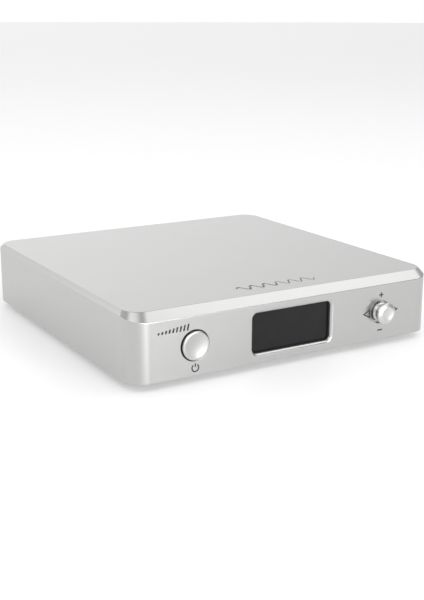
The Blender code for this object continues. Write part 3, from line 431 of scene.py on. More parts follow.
def lipped_hole(solid, outline_at, axis, surface, depth, lip, steps=5):
    """Adds a cutter for a hole with a rounded mouth, from the surface in by the signed depth.

    outline_at gives the hole's outline, grown by a distance.
    """
    inward = math.copysign(1.0, depth)
    rings = [(-1.0, lip), (-0.02, lip)]
    for step in range(1, steps + 1):
        angle = math.radians(90 * step / steps)
        rings.append((lip - lip * math.cos(angle), lip - lip * math.sin(angle)))
    rings.append((abs(depth), 0.0))
    solid.skin([
        [place_on(axis, a, b, surface + inward * down) for a, b in outline_at(grown)]
        for down, grown in rings
    ])
    return solid


def lipped_bore(solid, radius, centre, *run, points=64):
    """The same for a round hole. run is what lipped_hole takes after the outline."""
    return lipped_hole(solid, lambda grown: circle(radius + grown, points, centre), *run)


def lipped_slot(solid, half_width, half_height, radius, centre, *run, points=8):
    """The same for a hole that is a rounded rectangle."""
    return lipped_hole(solid, lambda grown: rounded_rectangle(
        half_width + grown, half_height + grown, radius + grown, points, centre
    ), *run)


# ---------------- materials

class Look:
    """One procedural material. Sizes are millimetres on the object."""

    def __init__(self, name, colour, roughness, metallic=0.0):
        self.name = name
        self.material = bpy.data.materials.new(name)
        self.material.use_nodes = True
        self.tree = self.material.node_tree
        self.shader = self.tree.nodes["Principled BSDF"]
        self.place = self.node("TexCoord").outputs["Object"]
        self.shader.inputs["Metallic"].default_value = metallic
        self.colour = colour
        self.roughness = roughness
        self.normal = None

    def node(self, kind, inputs=(), **settings):
        made = self.tree.nodes.new("ShaderNode" + kind)
        for name, value in settings.items():
            setattr(made, name, value)
        for name, value in dict(inputs).items():
            if isinstance(value, bpy.types.NodeSocket):
                self.tree.links.new(value, made.inputs[name])
            else:
                made.inputs[name].default_value = value
        return made

    def noise(self, size, detail=2.0):
        inputs = {"Vector": self.place, "Scale": 1 / (size * MM), "Detail": detail}
        return self.node("TexNoise", inputs).outputs["Fac"]

    def between(self, value, low, high, start=0.3, end=0.7):
        inputs = {"Value": value, "From Min": start, "From Max": end, "To Min": low, "To Max": high}
        return self.node("MapRange", inputs).outputs["Result"]

    def mottle(self, size, amount):
        """Lightens and darkens the colour in soft patches."""
        ramp = self.node("ValToRGB", {"Fac": self.noise(size)})
        ends = ((0.3, -amount), (0.7, amount))
        for element, (position, change) in zip(ramp.color_ramp.elements, ends):
            element.position = position
            element.color = (*[part * (1 + change) for part in self.colour], 1.0)
        self.tree.links.new(ramp.outputs["Color"], self.shader.inputs["Base Color"])
        return self

    def uneven_gloss(self, size, amount):
        spread = self.between(self.noise(size), self.roughness - amount, self.roughness + amount)
        self.tree.links.new(spread, self.shader.inputs["Roughness"])
        return self

    def bump(self, height, depth):
        inputs = {"Height": height, "Distance": depth * MM, "Strength": 1.0}
        if self.normal:
            inputs["Normal"] = self.normal
        self.normal = self.node("Bump", inputs).outputs["Normal"]
        self.tree.links.new(self.normal, self.shader.inputs["Normal"])
        return self

    def grain(self, size, depth, detail=1.0):
        return self.bump(self.noise(size, detail), depth)

    def turning_lines(self, centre, pitch, depth):
        """Fine circles left by a lathe, about an axis along Y through this X and Z."""
        across = self.node("VectorMath", {0: self.place, 1: (1.0, 0.0, 1.0)}, operation="MULTIPLY")
        shift = (centre[0] * MM, 0.0, centre[1] * MM)
        away = self.node("VectorMath", {0: across.outputs["Vector"], 1: shift}, operation="DISTANCE")
        turns = self.node(
            "Math", {0: away.outputs["Value"], 1: math.tau / (pitch * MM)}, operation="MULTIPLY"
        )
        wave = self.node("Math", {0: turns.outputs["Value"]}, operation="SINE")
        return self.bump(wave.outputs["Value"], depth)

    def set(self, **values):
        for name, value in values.items():
            self.shader.inputs[name.replace("_", " ")].default_value = value
        return self


def aluminium(name, colour, roughness):
    """Fine bead-blasted, clear-anodised metal."""
    look = Look(name, colour, roughness, metallic=1.0)
    return look.mottle(14.0, 0.006).uneven_gloss(20.0, 0.004).grain(0.16, 0.001)


def turned_aluminium(name, colour, roughness, centre):
    """The same metal with the fine rings of a lathe."""
    look = Look(name, colour, roughness, metallic=1.0)
    look.mottle(2.0, 0.01).uneven_gloss(0.8, 0.01)
    return look.turning_lines(centre, 0.14, 0.0006)


def moulded(name, colour, roughness):
    """Plastic with the fine texture of its mould."""
    look = Look(name, colour, roughness)
    return look.mottle(3.0, 0.10).uneven_gloss(1.2, 0.05).grain(0.12, 0.006, detail=3.0)


def plated(name, colour, roughness):
    """A thin layer of metal or dark finish over metal."""
    look = Look(name, colour, roughness, metallic=1.0)
    return look.mottle(1.5, 0.04).uneven_gloss(0.7, 0.05).grain(0.35, 0.002)


def rubber(name, colour):
    look = Look(name, colour, 0.82)
    return look.mottle(1.0, 0.15).uneven_gloss(0.6, 0.06).grain(0.22, 0.02, detail=3.0)


def smoked_glass(name, colour):
    """Polished black glass, with the faint unevenness of its tint and of a wiped surface."""
    look = Look(name, colour, 0.05)
    look.mottle(9.0, 0.12).uneven_gloss(6.0, 0.015)
    return look.set(IOR=1.28)


def circuit_board(name, colour):
    """Solder mask over copper: broad pours that stand up slightly from the laminate."""
    look = Look(name, colour, 0.35)
    cells = look.node(
        "TexVoronoi", {"Vector": look.place, "Scale": 1 / (4.0 * MM)},
        distance="CHEBYCHEV", feature="F1",
    )
    pours = look.between(cells.outputs["Distance"], 0.0, 1.0, 0.35, 0.42)
    tint = look.node("ValToRGB", {"Fac": pours})
    tint.color_ramp.elements[0].color = (*[part * 1.6 for part in colour], 1.0)
    tint.color_ramp.elements[1].color = (*colour, 1.0)
    look.tree.links.new(tint.outputs["Color"], look.shader.inputs["Base Color"])
    return look.uneven_gloss(1.5, 0.05).bump(pours, -0.03)


def make_looks():
    """Every material of the object, by its name, which for most is the name of its slot."""
    stick = (STICK_X, CONTROL_HEIGHT)
    button = (BUTTON_X, CONTROL_HEIGHT)
    looks = (
        aluminium("case_aluminium", (0.50, 0.50, 0.495), 0.26),
        aluminium("plate_aluminium", (0.55, 0.55, 0.545), 0.36),
        aluminium("panel_aluminium", (0.55, 0.55, 0.545), 0.34),
        turned_aluminium("control_aluminium", (0.60, 0.60, 0.59), 0.33, stick),
        turned_aluminium("button_aluminium", (0.52, 0.52, 0.51), 0.26, button),
        smoked_glass("display_glass", (0.012, 0.012, 0.013)),
        smoked_glass("display_black", (0.008, 0.008, 0.010)),
        moulded("black_plastic", (0.022, 0.022, 0.023), 0.48),
        moulded("white_plastic", (0.80, 0.79, 0.75), 0.42),
        moulded("red_plastic", (0.50, 0.02, 0.02), 0.42),
        moulded("grey_plastic", (0.12, 0.12, 0.13), 0.46),
        moulded("capacitor_sleeve", (0.05, 0.05, 0.07), 0.28),
        rubber("foot_rubber", (0.02, 0.02, 0.02)),
        circuit_board("circuit_board", (0.010, 0.075, 0.042)),
        plated("nickel", (0.66, 0.65, 0.62), 0.22),
        plated("gold", (0.83, 0.62, 0.28), 0.22),
        plated("black_steel", (0.05, 0.05, 0.05), 0.38),
        moulded("etched_mark", (0.025, 0.025, 0.025), 0.7),
    )
    return {look.name: look.material for look in looks}


LOOKS = make_looks()


# ---------------- case

def case_profiles():
    """For each point of the case's outline, the line up its side: base, shoulder and top edge."""
    centre_y = (FRONT + REAR) / 2
    half_depth = (REAR - FRONT) / 2
    steps = 16
    plan = rounded_rectangle(HALF_WIDTH, half_depth, CORNER_RADIUS, steps, (0.0, centre_y))
    inset = (FRONT_CHAMFER_DEPTH - SIDE_CHAMFER) / 2
    top = rounded_rectangle(
        HALF_WIDTH - SIDE_CHAMFER, half_depth - SIDE_CHAMFER - inset, TOP_CORNER_RADIUS, steps,
        (0.0, centre_y + inset),
    )
    for (x, y), (top_x, top_y) in zip(plan, top):
        behind_centre = FRONT + CORNER_RADIUS - y
        beside_centre = abs(x) - (HALF_WIDTH - CORNER_RADIUS)
        turn = 1.0
        if behind_centre > 0:
            turn = math.atan2(max(beside_centre, 0.0), behind_centre) / (math.pi / 2)
        fade = max(1.0 - turn, 0.0) ** CHAMFER_FADE
        drop = SIDE_CHAMFER + (FRONT_CHAMFER_DROP - SIDE_CHAMFER) * fade
        inward = Vector((top_x - x, top_y - y, 0.0)).normalized()
        base = Vector((x, y, UNDERSIDE))
        crown = Vector((top_x, top_y, TOP))
        corners = [base + inward, base, Vector((x, y, TOP - drop)), crown, crown + inward]
        yield rounded(corners, EDGE_ROUND)


def cut_front(holes):
    """Adds cutters for the window, the button's hole and the joystick's hole."""
    lipped_slot(
        holes, WINDOW_HALF_WIDTH, WINDOW_HALF_HEIGHT, WINDOW_RADIUS, (0.0, CONTROL_HEIGHT),
        "Y", FRONT, FRONT_WALL + WALL, WINDOW_LIP,
    )
    lipped_bore(
        holes, BUTTON_HOLE_RADIUS, (BUTTON_X, CONTROL_HEIGHT),
        "Y", FRONT, FRONT_WALL + WALL, HOLE_LIP, points=96,
    )
    lipped_bore(
        holes, STICK_HOLE_RADIUS, (STICK_X, CONTROL_HEIGHT),
        "Y", FRONT, STICK_LIP_DEPTH + 0.2, HOLE_LIP, points=96,
    )


def make_case():
    """The milled cover, open below and at the rear, with the groove of the line on its top."""
    cover = Solid().skin(list(zip(*case_profiles())))
    thing = cover.to_object("case_cover")
    outline = rounded_rectangle(
        HALF_WIDTH - WALL, (REAR - WALL - FRONT - FRONT_WALL) / 2, CORNER_RADIUS - WALL, 8,
        (0.0, (REAR - WALL + FRONT + FRONT_WALL) / 2),
    )
    combine(thing, Solid().prism(outline, "Z", 0.0, CEILING), "DIFFERENCE")

    holes = Solid()
    cut_front(holes)
    well = tube(STICK_LIP_DEPTH, FRONT_WALL + WALL, STICK_WELL_RADIUS)
    holes.turned(well, "Y", (STICK_X, FRONT, CONTROL_HEIGHT))
    half_height = (REAR_OPENING_HIGH - REAR_OPENING_LOW) / 2
    lipped_slot(
        holes, REAR_OPENING_HALF_WIDTH, half_height, REAR_OPENING_RADIUS,
        (0.0, (REAR_OPENING_HIGH + REAR_OPENING_LOW) / 2),
        "Y", REAR, -(WALL + 0.5), REAR_OPENING_LIP,
    )
    combine(thing, holes, "DIFFERENCE")

    outline = rounded_rectangle(
        GLASS_HIGH.x + REBATE_GAP, WINDOW_HALF_HEIGHT + GLASS_LAP + REBATE_GAP,
        WINDOW_RADIUS + GLASS_LAP, 8, (0.0, CONTROL_HEIGHT),
    )
    rebate = Solid().prism(outline, "Y", GLASS_LOW.y - REBATE_GAP, FRONT + FRONT_WALL + WALL)
    combine(thing, rebate, "DIFFERENCE")

    groove = Solid().prism(top_motif(), "Z", TOP - MOTIF_DEPTH, TOP + 1.0)
    combine(thing, groove, "DIFFERENCE")
    return thing


def top_motif():
    """The outline of a line that waves in steps and then turns into a smooth wave."""
    period = MOTIF_HALF_LENGTH / MOTIF_WAVES
    path = []
    for step in range(MOTIF_STEPS * MOTIF_WAVES):
        level = math.sin(math.tau * (step + 0.5) / MOTIF_STEPS) * MOTIF_HEIGHT / 2
        start = -MOTIF_HALF_LENGTH + period * step / MOTIF_STEPS
        path += [(start, level), (start + period / MOTIF_STEPS, level)]
    smooth_steps = MOTIF_CURVE_STEPS * MOTIF_WAVES
    for step in range(1, smooth_steps + 1):
        t = step / smooth_steps
        level = math.sin(math.tau * MOTIF_WAVES * t) * MOTIF_HEIGHT / 2
        path.append((MOTIF_HALF_LENGTH * t, level))
    path = [(x, MOTIF_Y + y) for x, y in path]
    return stroke(path, MOTIF_STROKE)


def make_motif():
    """The dark floor of the groove that the line on the top is milled as."""
    groove_floor = TOP - MOTIF_DEPTH
    inlay = Solid().prism(top_motif(), "Z", groove_floor - SINK, groove_floor + 0.02)
    piece("top_motif", inlay, "black_steel")


# ---------------- front

def front_marks():
    """The etched signs: a row of level bars, the power sign and the four ways of the joystick."""
    signs = Solid()
    near, far = FRONT - PRINT_PROUD, FRONT + SINK

    def mark(outline):
        signs.prism(outline, "Y", near, far)

    for bar in range(BARS):
        share = bar / (BARS - 1)
        x = BARS_LEFT + BARS_WIDTH * share
        height = BARS_HEIGHT * (SHORTEST_BAR + (1 - SHORTEST_BAR) * share)
        corners = [(0.0, 0.0), (BAR_THICKNESS, 0.0), (BAR_THICKNESS, height), (0.0, height)]
        mark([(x + a + BARS_LEAN * b, BARS_LOW + b) for a, b in corners])

    x, z = BUTTON_X, CONTROL_HEIGHT - POWER_SIGN_BELOW
    mark(stroke(arc(POWER_SIGN_RADIUS, 125, 415, 32, (x, z)), MARK_STROKE))
    foot = z + POWER_SIGN_RISE
    mark(stroke([(x, foot), (x, z + POWER_SIGN_RADIUS + POWER_SIGN_RISE)], MARK_STROKE))

    half, arm = MARK_STROKE / 2, PLUS_ARM
    x, z = STICK_X, CONTROL_HEIGHT + PLUS_ABOVE
    mark([
        (x - half, z - arm), (x + half, z - arm), (x + half, z - half), (x + arm, z - half),
        (x + arm, z + half), (x + half, z + half), (x + half, z + arm), (x - half, z + arm),
        (x - half, z + half), (x - arm, z + half), (x - arm, z - half), (x - half, z - half),
    ])
    z = CONTROL_HEIGHT - MINUS_BELOW
    mark(stroke([(x - MINUS_ARM, z), (x + MINUS_ARM, z)], MARK_STROKE * 1.1))
    for side in (-1, 1):
        triangle = [
            (STICK_X + side * ARROW_TIP, CONTROL_HEIGHT),
            (STICK_X + side * ARROW_BASE, CONTROL_HEIGHT + ARROW_HALF_HEIGHT),
            (STICK_X + side * ARROW_BASE, CONTROL_HEIGHT - ARROW_HALF_HEIGHT),
        ]
        signs.band(offset(triangle, half), offset(triangle, -half), "Y", near, far)
    piece("front_marks", signs, "black_plastic", look="etched_mark")


def dish(radius, rim, sag, steps=10):
    """Points of a shallow spherical dish from its middle out to its rim, which is at this level."""
    sphere = (radius ** 2 + sag ** 2) / (2 * sag)
    across = [radius * step / steps for step in range(steps + 1)]
    return [(r, rim + math.sqrt(sphere ** 2 - r ** 2) - (sphere - sag)) for r in across]


def make_window():
    """The black glass, a little larger than the opening in front of it."""
    outline = rounded_rectangle(
        GLASS_HIGH.x, (GLASS_HIGH.z - GLASS_LOW.z) / 2, WINDOW_RADIUS + GLASS_LAP, 8,
        (0.0, CONTROL_HEIGHT),
    )
    glass = Solid().prism(outline, "Y", GLASS_HIGH.y, GLASS_LOW.y, 0.15)
    piece("display_window", glass, "display_glass", stands_for=["display_glass"])


def make_button():
    """The dished power button, with a chamfered rim and a flange behind the wall."""
    low, high = box_mm("power_button")
    front, back = low.y, high.y
    flange_front = FRONT + FRONT_WALL + 0.3
    flange_back = flange_front + 0.9
    edge = [
        (BUTTON_DISH_RADIUS, front), (5.4, front + 0.12), (BUTTON_RADIUS, front + 0.4),
        (BUTTON_RADIUS, flange_front), (BUTTON_FLANGE_RADIUS, flange_front),
        (BUTTON_FLANGE_RADIUS, flange_back), (BUTTON_STEM_RADIUS, flange_back),
        (BUTTON_STEM_RADIUS, back), (0.0, back),
    ]
    profile = dish(BUTTON_DISH_RADIUS, front, BUTTON_DISH_SAG) + rounded(edge, 0.12)[1:]
    button = Solid().turned(profile, "Y", (BUTTON_X, 0.0, CONTROL_HEIGHT), 96)
    piece(
        "power_button_cap", button, "control_aluminium", "power_key", ["power_button"],
        look="button_aluminium",
    )


def make_knob():
    """The joystick's spool-shaped knob: a dished end, a turned-down rim, a waist and a flange."""
    low, high = box_mm("joystick_knob")
    front, back = low.y, high.y
    head = [
        (KNOB_DISH_RADIUS, front), (3.1, front + 0.03), (4.35, front + 0.65),
        (KNOB_RADIUS, front + 1.1), (4.4, front + 1.6), (3.6, front + 2.4),
        (KNOB_WAIST_RADIUS, front + 3.1), (3.4, front + 3.9), (KNOB_FLANGE_RADIUS, front + 4.5),
        (KNOB_FLANGE_RADIUS, front + 5.2), (KNOB_HUB_RADIUS, front + 5.4),
        (KNOB_HUB_RADIUS, back), (KNOB_BORE_RADIUS, back),
        (KNOB_BORE_RADIUS, front + KNOB_BORE_END), (0.0, front + KNOB_BORE_END),
    ]
    profile = dish(KNOB_DISH_RADIUS, front, KNOB_DISH_SAG) + rounded(head, 0.2)[1:]
    knob = Solid().turned(profile, "Y", (STICK_X, 0.0, CONTROL_HEIGHT), 96)
    piece("joystick_cap", knob, "control_aluminium", "stick", ["joystick_knob"])


# ---------------- rear

def threaded_tube(solid, radius, hole, start, end, centre, pitch=0.75, depth=0.28, steps=48):
    """A tube along Y with a screw thread on its outside and rounded rims."""
    count = round((end - start) / pitch * 6)
    rings = []
    for step in range(count + 1):
        along = start + (end - start) * step / count
        ease = min(1.0, (end - along) / (pitch * 1.2))
        ring = []
        for index in range(steps):
            phase = (along / pitch - index / steps) % 1.0
            crest = abs(2 * phase - 1.0)
            r = radius - depth * (1.0 - crest * ease)
            angle = math.tau * index / steps
            ring.append((centre[0] + r * math.cos(angle), along, centre[1] + r * math.sin(angle)))
        rings.append(ring)
    for r, along in ((hole + 0.35, end), (hole + 0.1, end - 0.08), (hole, end - 0.3), (hole, start)):
        rings.append([(x, along, z) for x, z in circle(r, steps, centre)])
    return solid.skin(rings, capped=False)


def make_rear_panel():
    """The rear plate, with a hole for every socket and screw."""
    plate = rounded_rectangle(
        PANEL_HIGH.x, (PANEL_HIGH.z - PANEL_LOW.z) / 2, 1.0, 4,
        (0.0, (PANEL_HIGH.z + PANEL_LOW.z) / 2),
    )
    holes = Solid()
    rounds = [(f"line_jack_{side}", JACK_HOLE_RADIUS) for side in SIDES]
    rounds += [(name, PHONO_HOLE_RADIUS) for name in ("rca_out_left", "rca_out_right", "coax_in")]
    rounds += [(name, SMALL_HOLE_RADIUS) for name in ("antenna_socket", "power_jack")]
    rounds += [(f"panel_screw_{side}", PANEL_SCREW_HOLE_RADIUS) for side in SIDES]
    deep = -(PANEL_OUTER - PANEL_INNER + 0.5)
    for name, radius in rounds:
        centre = (middle(name).x, SOCKET_HEIGHT)
        lipped_bore(holes, radius, centre, "Y", PANEL_OUTER, deep, PANEL_LIP, 3)
    for name, half_width, half_height in (("optical_socket", 5.0, 4.9), ("usb_socket", 6.3, 5.7)):
        lipped_slot(
            holes, half_width, half_height, 0.6, (middle(name).x, SOCKET_HEIGHT),
            "Y", PANEL_OUTER, deep, PANEL_LIP, 3, points=4,
        )
    panel = Solid().prism(plate, "Y", PANEL_INNER, PANEL_OUTER)
    piece("rear_plate", panel, "panel_aluminium", stands_for=["rear_panel"], cut=holes)


def rear_marks():
    """Printed brackets that group the sockets, and plain signs over them."""
    signs = Solid()
    near, far = PANEL_OUTER - SINK, PANEL_OUTER + PRINT_PROUD

    def mark(outline):
        signs.prism(outline, "Y", near, far)

    thin, top = SIGN_STROKE, SIGN_HEIGHT
    for left, right in (
        (middle("line_jack_right").x - 7.0, middle("line_jack_left").x + 7.0),
        (middle("rca_out_right").x - 4.8, middle("rca_out_left").x + 4.8),
    ):
        path = [(left, top - 1.2), (left, top), (right, top), (right, top - 1.2)]
        mark(stroke(path, thin))
        centre = (left + right) / 2
        mark(circle(1.25, 32, (centre, top)))
    for name in ("coax_in", "optical_socket", "usb_socket"):
        x = middle(name).x
        mark([(x - 0.8, top + 0.7), (x + 0.8, top + 0.7), (x, top - 0.6)][::-1])
        mark(stroke([(x - 1.1, top - 0.95), (x + 1.1, top - 0.95)], thin))
    x = middle("antenna_socket").x
    mark(stroke([(x, top - 1.1), (x, top - 0.1)], thin))
    for radius in (0.8, 1.4):
        for start in (-45, 135):
            mark(stroke(arc(radius, start, start + 90, 10, (x, top - 0.1)), thin))
    x = middle("power_jack").x
    mark(stroke([(x - 1.2, top + 0.3), (x + 1.2, top + 0.3)], thin))
    for shift in (-0.9, 0.0, 0.9):
        mark(stroke([(x + shift - 0.3, top - 0.4), (x + shift + 0.3, top - 0.4)], thin))
    piece("rear_marks", signs, "black_plastic", look="etched_mark")


def spun(profile, x, steps=64):
    """A body turned about the axis of the socket at this X."""
    return Solid().turned(profile, "Y", (x, 0.0, SOCKET_HEIGHT), steps)


def make_line_jacks():
    """The large jacks: a moulded body, a threaded bush, the sprung ring in its mouth and a nut."""
    for side in SIDES:
        name = f"line_jack_{side}"
        low, high = box_mm(name)
        x = (low.x + high.x) / 2
        back = PANEL_INNER - SOCKET_GAP
        body = Solid().box(low, (high.x, back, high.z)).soften(0.4)
        bush = threaded_tube(
            Solid(), JACK_BUSH_RADIUS, JACK_BORE_RADIUS, back - 2.0, high.y, (x, SOCKET_HEIGHT)
        )
        bore = spun(tube(low.y + 1.5, high.y - 1.0, JACK_BORE_RADIUS), x)
        piece(name + "_bush", body, "black_plastic", stands_for=[name], joined=bush, cut=bore)
        ring = spun(rounded_loop(tube(high.y - 1.4, high.y - 0.05, 4.3, 3.3), 0.12), x)
        piece(f"line_jack_ferrule_{side}", ring, "nickel")
        make_jack_nut(f"line_jack_nut_{side}", (x, SOCKET_HEIGHT))


def make_jack_nut(name, centre):
    """A thin hexagonal nut, with its outer edges eased."""
    low, high = box_mm(name)
    outline = circle((high.x - low.x) / 2, 6, centre)
    nut = Solid().prism(outline, "Y", low.y, high.y, 0.3)
    through = low.y - high.y - 1.0
    bore = lipped_bore(Solid(), JACK_HOLE_RADIUS, centre, "Y", high.y, through, 0.2, 3)
    piece(name + "_ring", nut, "nickel", stands_for=[name], cut=bore)


def make_phono_sockets():
    """The plated sleeves, their coloured inserts and the sprung contact in the middle of each."""
    contacts = Solid()
    inserts = {
        "rca_out_left": "white_plastic", "rca_out_right": "red_plastic", "coax_in": "black_plastic",
    }
    outside = PHONO_SLEEVE_RADIUS
    for name, colour in inserts.items():
        low, high = box_mm(name)
        x = (low.x + high.x) / 2
        flange = PANEL_OUTER + SOCKET_GAP
        profile = rounded_loop([
            (3.5, low.y), (outside, low.y), (outside, flange), (4.9, flange), (4.9, flange + 0.9),
            (outside, flange + 0.9), (outside, high.y - 2.2), (4.0, high.y - 2.0),
            (4.0, high.y - 1.6), (outside, high.y - 1.4), (outside, high.y), (3.5, high.y),
        ], 0.14)
        piece(name + "_sleeve", spun(profile, x, 96), "gold", stands_for=[name])

        low, high = box_mm(name + "_insert")
        body_back = PANEL_INNER - 0.6
        body = Solid().box(low, (high.x, body_back, high.z)).soften(0.3)
        nose = spun([
            (0.0, body_back - 1.0), (3.2, body_back - 1.0), (3.2, high.y - 0.25), (2.95, high.y),
            (2.2, high.y), (2.0, high.y - 0.3), (0.0, high.y - 0.3),
        ], x)
        hole = spun([
            (0.0, body_back - 5.0), (1.6, body_back - 5.0), (1.6, high.y - 0.7),
            (2.0, high.y - 0.2), (2.0, high.y + 1.0), (0.0, high.y + 1.0),
        ], x)
        piece(name + "_core", body, colour, stands_for=[name + "_insert"], joined=nose, cut=hole)
        contact = tube(high.y - 7.0, high.y - 1.6, 1.55, 1.15)
        contacts.turned(rounded_loop(contact, 0.1), "Y", (x, 0.0, SOCKET_HEIGHT), 32)
    piece("phono_contacts", contacts, "gold")


def make_optical():
    """The optical input: a moulded mouth and the grey shutter that hangs across it."""
    low, high = box_mm("optical_socket")
    x = (low.x + high.x) / 2
    body_back = PANEL_INNER - SOCKET_GAP
    body = Solid().box(low, (high.x, body_back, high.z)).soften(0.3)
    half_width, half_height = (high.x - low.x) / 2, high.z - SOCKET_HEIGHT
    frame_outline = rounded_rectangle(half_width, half_height, 0.6, 4, (x, SOCKET_HEIGHT))
    bezel = Solid().prism(frame_outline, "Y", body_back - 2.0, high.y, 0.25)
    mouth = lipped_slot(
        Solid(), OPTICAL_HALF_WIDTH, OPTICAL_HALF_HEIGHT, 0.3, (x, SOCKET_HEIGHT),
        "Y", high.y, -SOCKET_MOUTH_DEPTH, 0.3, 3, points=4,
    )
    socket = piece(
        "optical_mouth", body, "black_plastic", stands_for=["optical_socket"], joined=bezel,
        cut=mouth,
    )
    shutter_low, shutter_high = box_mm("optical_shutter")
    pin_y = (shutter_low.y + shutter_high.y) / 2
    pin_z = shutter_high.z - 0.5
    pivot = (x, pin_y, pin_z)
    combine(socket, Solid().turned(tube(-4.0, 4.0, 0.8), "X", pivot, 24), "DIFFERENCE")

    front, back = pin_y - FLAP_HALF_THICKNESS, pin_y + FLAP_HALF_THICKNESS
    flap = Solid().box(
        (x - FLAP_HALF_WIDTH, front, shutter_low.z), (x + FLAP_HALF_WIDTH, back, pin_z)
    ).soften(0.12)
    panel = rounded_rectangle(2.2, 2.0, 0.4, 4, (x, pin_z - 3.1))
    recess = Solid().prism(panel, "Y", back - 0.2, back + 1.0)
    pin = Solid().turned(tube(-3.7, 3.7, 0.5), "X", pivot, 24)
    piece(
        "optical_flap", flap, "grey_plastic", "shutter", ["optical_shutter"], joined=pin,
        cut=recess,
    )


def make_usb():
    """The square computer input: a folded steel shell, its moulded block and four contacts."""
    low, high = box_mm("usb_socket")
    x = (low.x + high.x) / 2
    centre = (x, SOCKET_HEIGHT)
    half_width, half_height = (high.x - low.x) / 2, (high.z - low.z) / 2
    outer = rounded_rectangle(half_width, half_height, 0.8, 5, centre)
    inside = rounded_rectangle(half_width - 0.4, half_height - 0.4, 0.4, 5, centre)
    shell = Solid().prism(outer, "Y", low.y, high.y, 0.1)
    hollow = Solid().prism(inside, "Y", low.y + 0.4, high.y + 1.0)
    piece("usb_shell", shell, "nickel", stands_for=["usb_socket"], cut=hollow)

    low, high = box_mm("usb_socket_insert")
    half_width, half_height = (high.x - low.x) / 2, (high.z - low.z) / 2
    outline = rounded_rectangle(half_width, half_height, 0.3, 3, centre)
    block = Solid().prism(outline, "Y", low.y, high.y, 0.1)
    left, right = x - USB_MOUTH_HALF_WIDTH, x + USB_MOUTH_HALF_WIDTH
    bottom, top = SOCKET_HEIGHT - USB_MOUTH_HALF_HEIGHT, SOCKET_HEIGHT + USB_MOUTH_HALF_HEIGHT
    bevel = USB_MOUTH_BEVEL
    mouth_outline = [
        (left, bottom), (right, bottom), (right, top - bevel), (right - bevel, top),
        (left + bevel, top), (left, top - bevel),
    ]
    mouth = lipped_hole(
        Solid(), lambda grown: offset(mouth_outline, grown),
        "Y", high.y, -SOCKET_MOUTH_DEPTH, 0.25, 3,
    )
    insert = piece("usb_block", block, "black_plastic", stands_for=["usb_socket_insert"], cut=mouth)
    tongue = Solid().prism(
        rounded_rectangle(2.8, 1.6, 0.2, 3, centre), "Y", high.y - 10.1, high.y - 0.8, 0.2
    )
    combine(insert, tongue, "UNION")
    contacts = Solid()
    for side_x in (-1, 1):
        for side_z in (-1, 1):
            place = (x + side_x * 1.25, SOCKET_HEIGHT + side_z * 1.6)
            contact = rounded_rectangle(0.5, 0.12, 0.1, 3, place)
            contacts.prism(contact, "Y", high.y - 9.0, high.y - 1.6, 0.05)
    piece("usb_contacts", contacts, "gold")


def make_antenna():
    """The threaded aerial socket, its white insulator and the sprung centre contact."""
    low, high = box_mm("antenna_socket")
    x = (low.x + high.x) / 2
    floor = high.y - 5.0
    foot = Solid().box(low, (high.x, PANEL_INNER - SOCKET_GAP, high.z)).soften(0.25)
    barrel = threaded_tube(
        Solid(), AERIAL_BARREL_RADIUS, AERIAL_BORE_RADIUS, PANEL_INNER - 2.0, high.y,
        (x, SOCKET_HEIGHT), 0.7, 0.22,
    )
    bore = spun(tube(floor, high.y - 1.0, AERIAL_BORE_RADIUS), x, 48)
    piece("antenna_barrel", foot, "gold", stands_for=["antenna_socket"], joined=barrel, cut=bore)
    collar = rounded_loop(tube(floor, high.y - 1.6, 1.85, 0.62), 0.1)
    piece("antenna_insulator", spun(collar, x, 48), "white_plastic")
    contact = rounded_loop(tube(high.y - 4.8, high.y - 1.3, 0.6, 0.32), 0.06)
    piece("antenna_contact", spun(contact, x, 32), "gold")


def make_power_jack():
    """The round power inlet: a moulded body with a deep mouth, and its centre pin."""
    low, high = box_mm("power_jack")
    x = (low.x + high.x) / 2
    body = Solid().box(low, high).soften(0.4)
    floor = high.y - 10.0
    hollow = spun([
        (0.0, floor - 2.0), (1.3, floor - 2.0), (1.3, floor), (3.15, floor), (3.15, high.y - 0.4),
        (3.45, high.y), (3.45, high.y + 1.0), (0.0, high.y + 1.0),
    ], x)
    piece("power_inlet", body, "black_plastic", stands_for=["power_jack"], cut=hollow)
    low, high = box_mm("power_jack_pin")
    pin = rounded([
        (0.0, low.y), (1.0, low.y), (1.0, high.y - 0.7), (0.45, high.y), (0.0, high.y),
    ], 0.2)
    piece("power_inlet_pin", spun(pin, x, 48), "nickel", stands_for=["power_jack_pin"])


def make_screw(name, profile, axis, place, start, end):
    """A screw with a hexagonal socket between these levels, one of them outside its head."""
    screw = Solid().turned(profile, axis, place_on(axis, *place, 0.0))
    drive = Solid().prism(circle(HEX_SOCKET_RADIUS, 6, place), axis, start, end)
    piece(name + "_head", screw, "black_steel", stands_for=[name], cut=drive)


def make_screws():
    """The visible screws: two in the rear panel and four countersunk in the base."""
    for side in SIDES:
        name = f"panel_screw_{side}"
        low, high = box_mm(name)
        seat = PANEL_OUTER + SOCKET_GAP
        profile = rounded([
            (0.0, low.y), (1.2, low.y), (1.2, seat), (2.4, seat), (2.4, seat + 0.6),
            (1.7, high.y), (0.0, high.y),
        ], 0.3)
        place = (middle(name).x, SOCKET_HEIGHT)
        make_screw(name, profile, "Y", place, high.y - 0.8, high.y + 1.0)
    for corner in CORNERS:
        name = f"bottom_screw_{corner}"
        low, high = box_mm(name)
        profile = rounded([
            (0.0, low.z), (2.4, low.z), (2.4, low.z + 0.15), (1.2, low.z + 1.2), (1.2, high.z),
            (0.0, high.z),
        ], 0.08)
        make_screw(name, profile, "Z", middle(name).xy, low.z - 1.0, low.z + 0.8)


# ---------------- underside

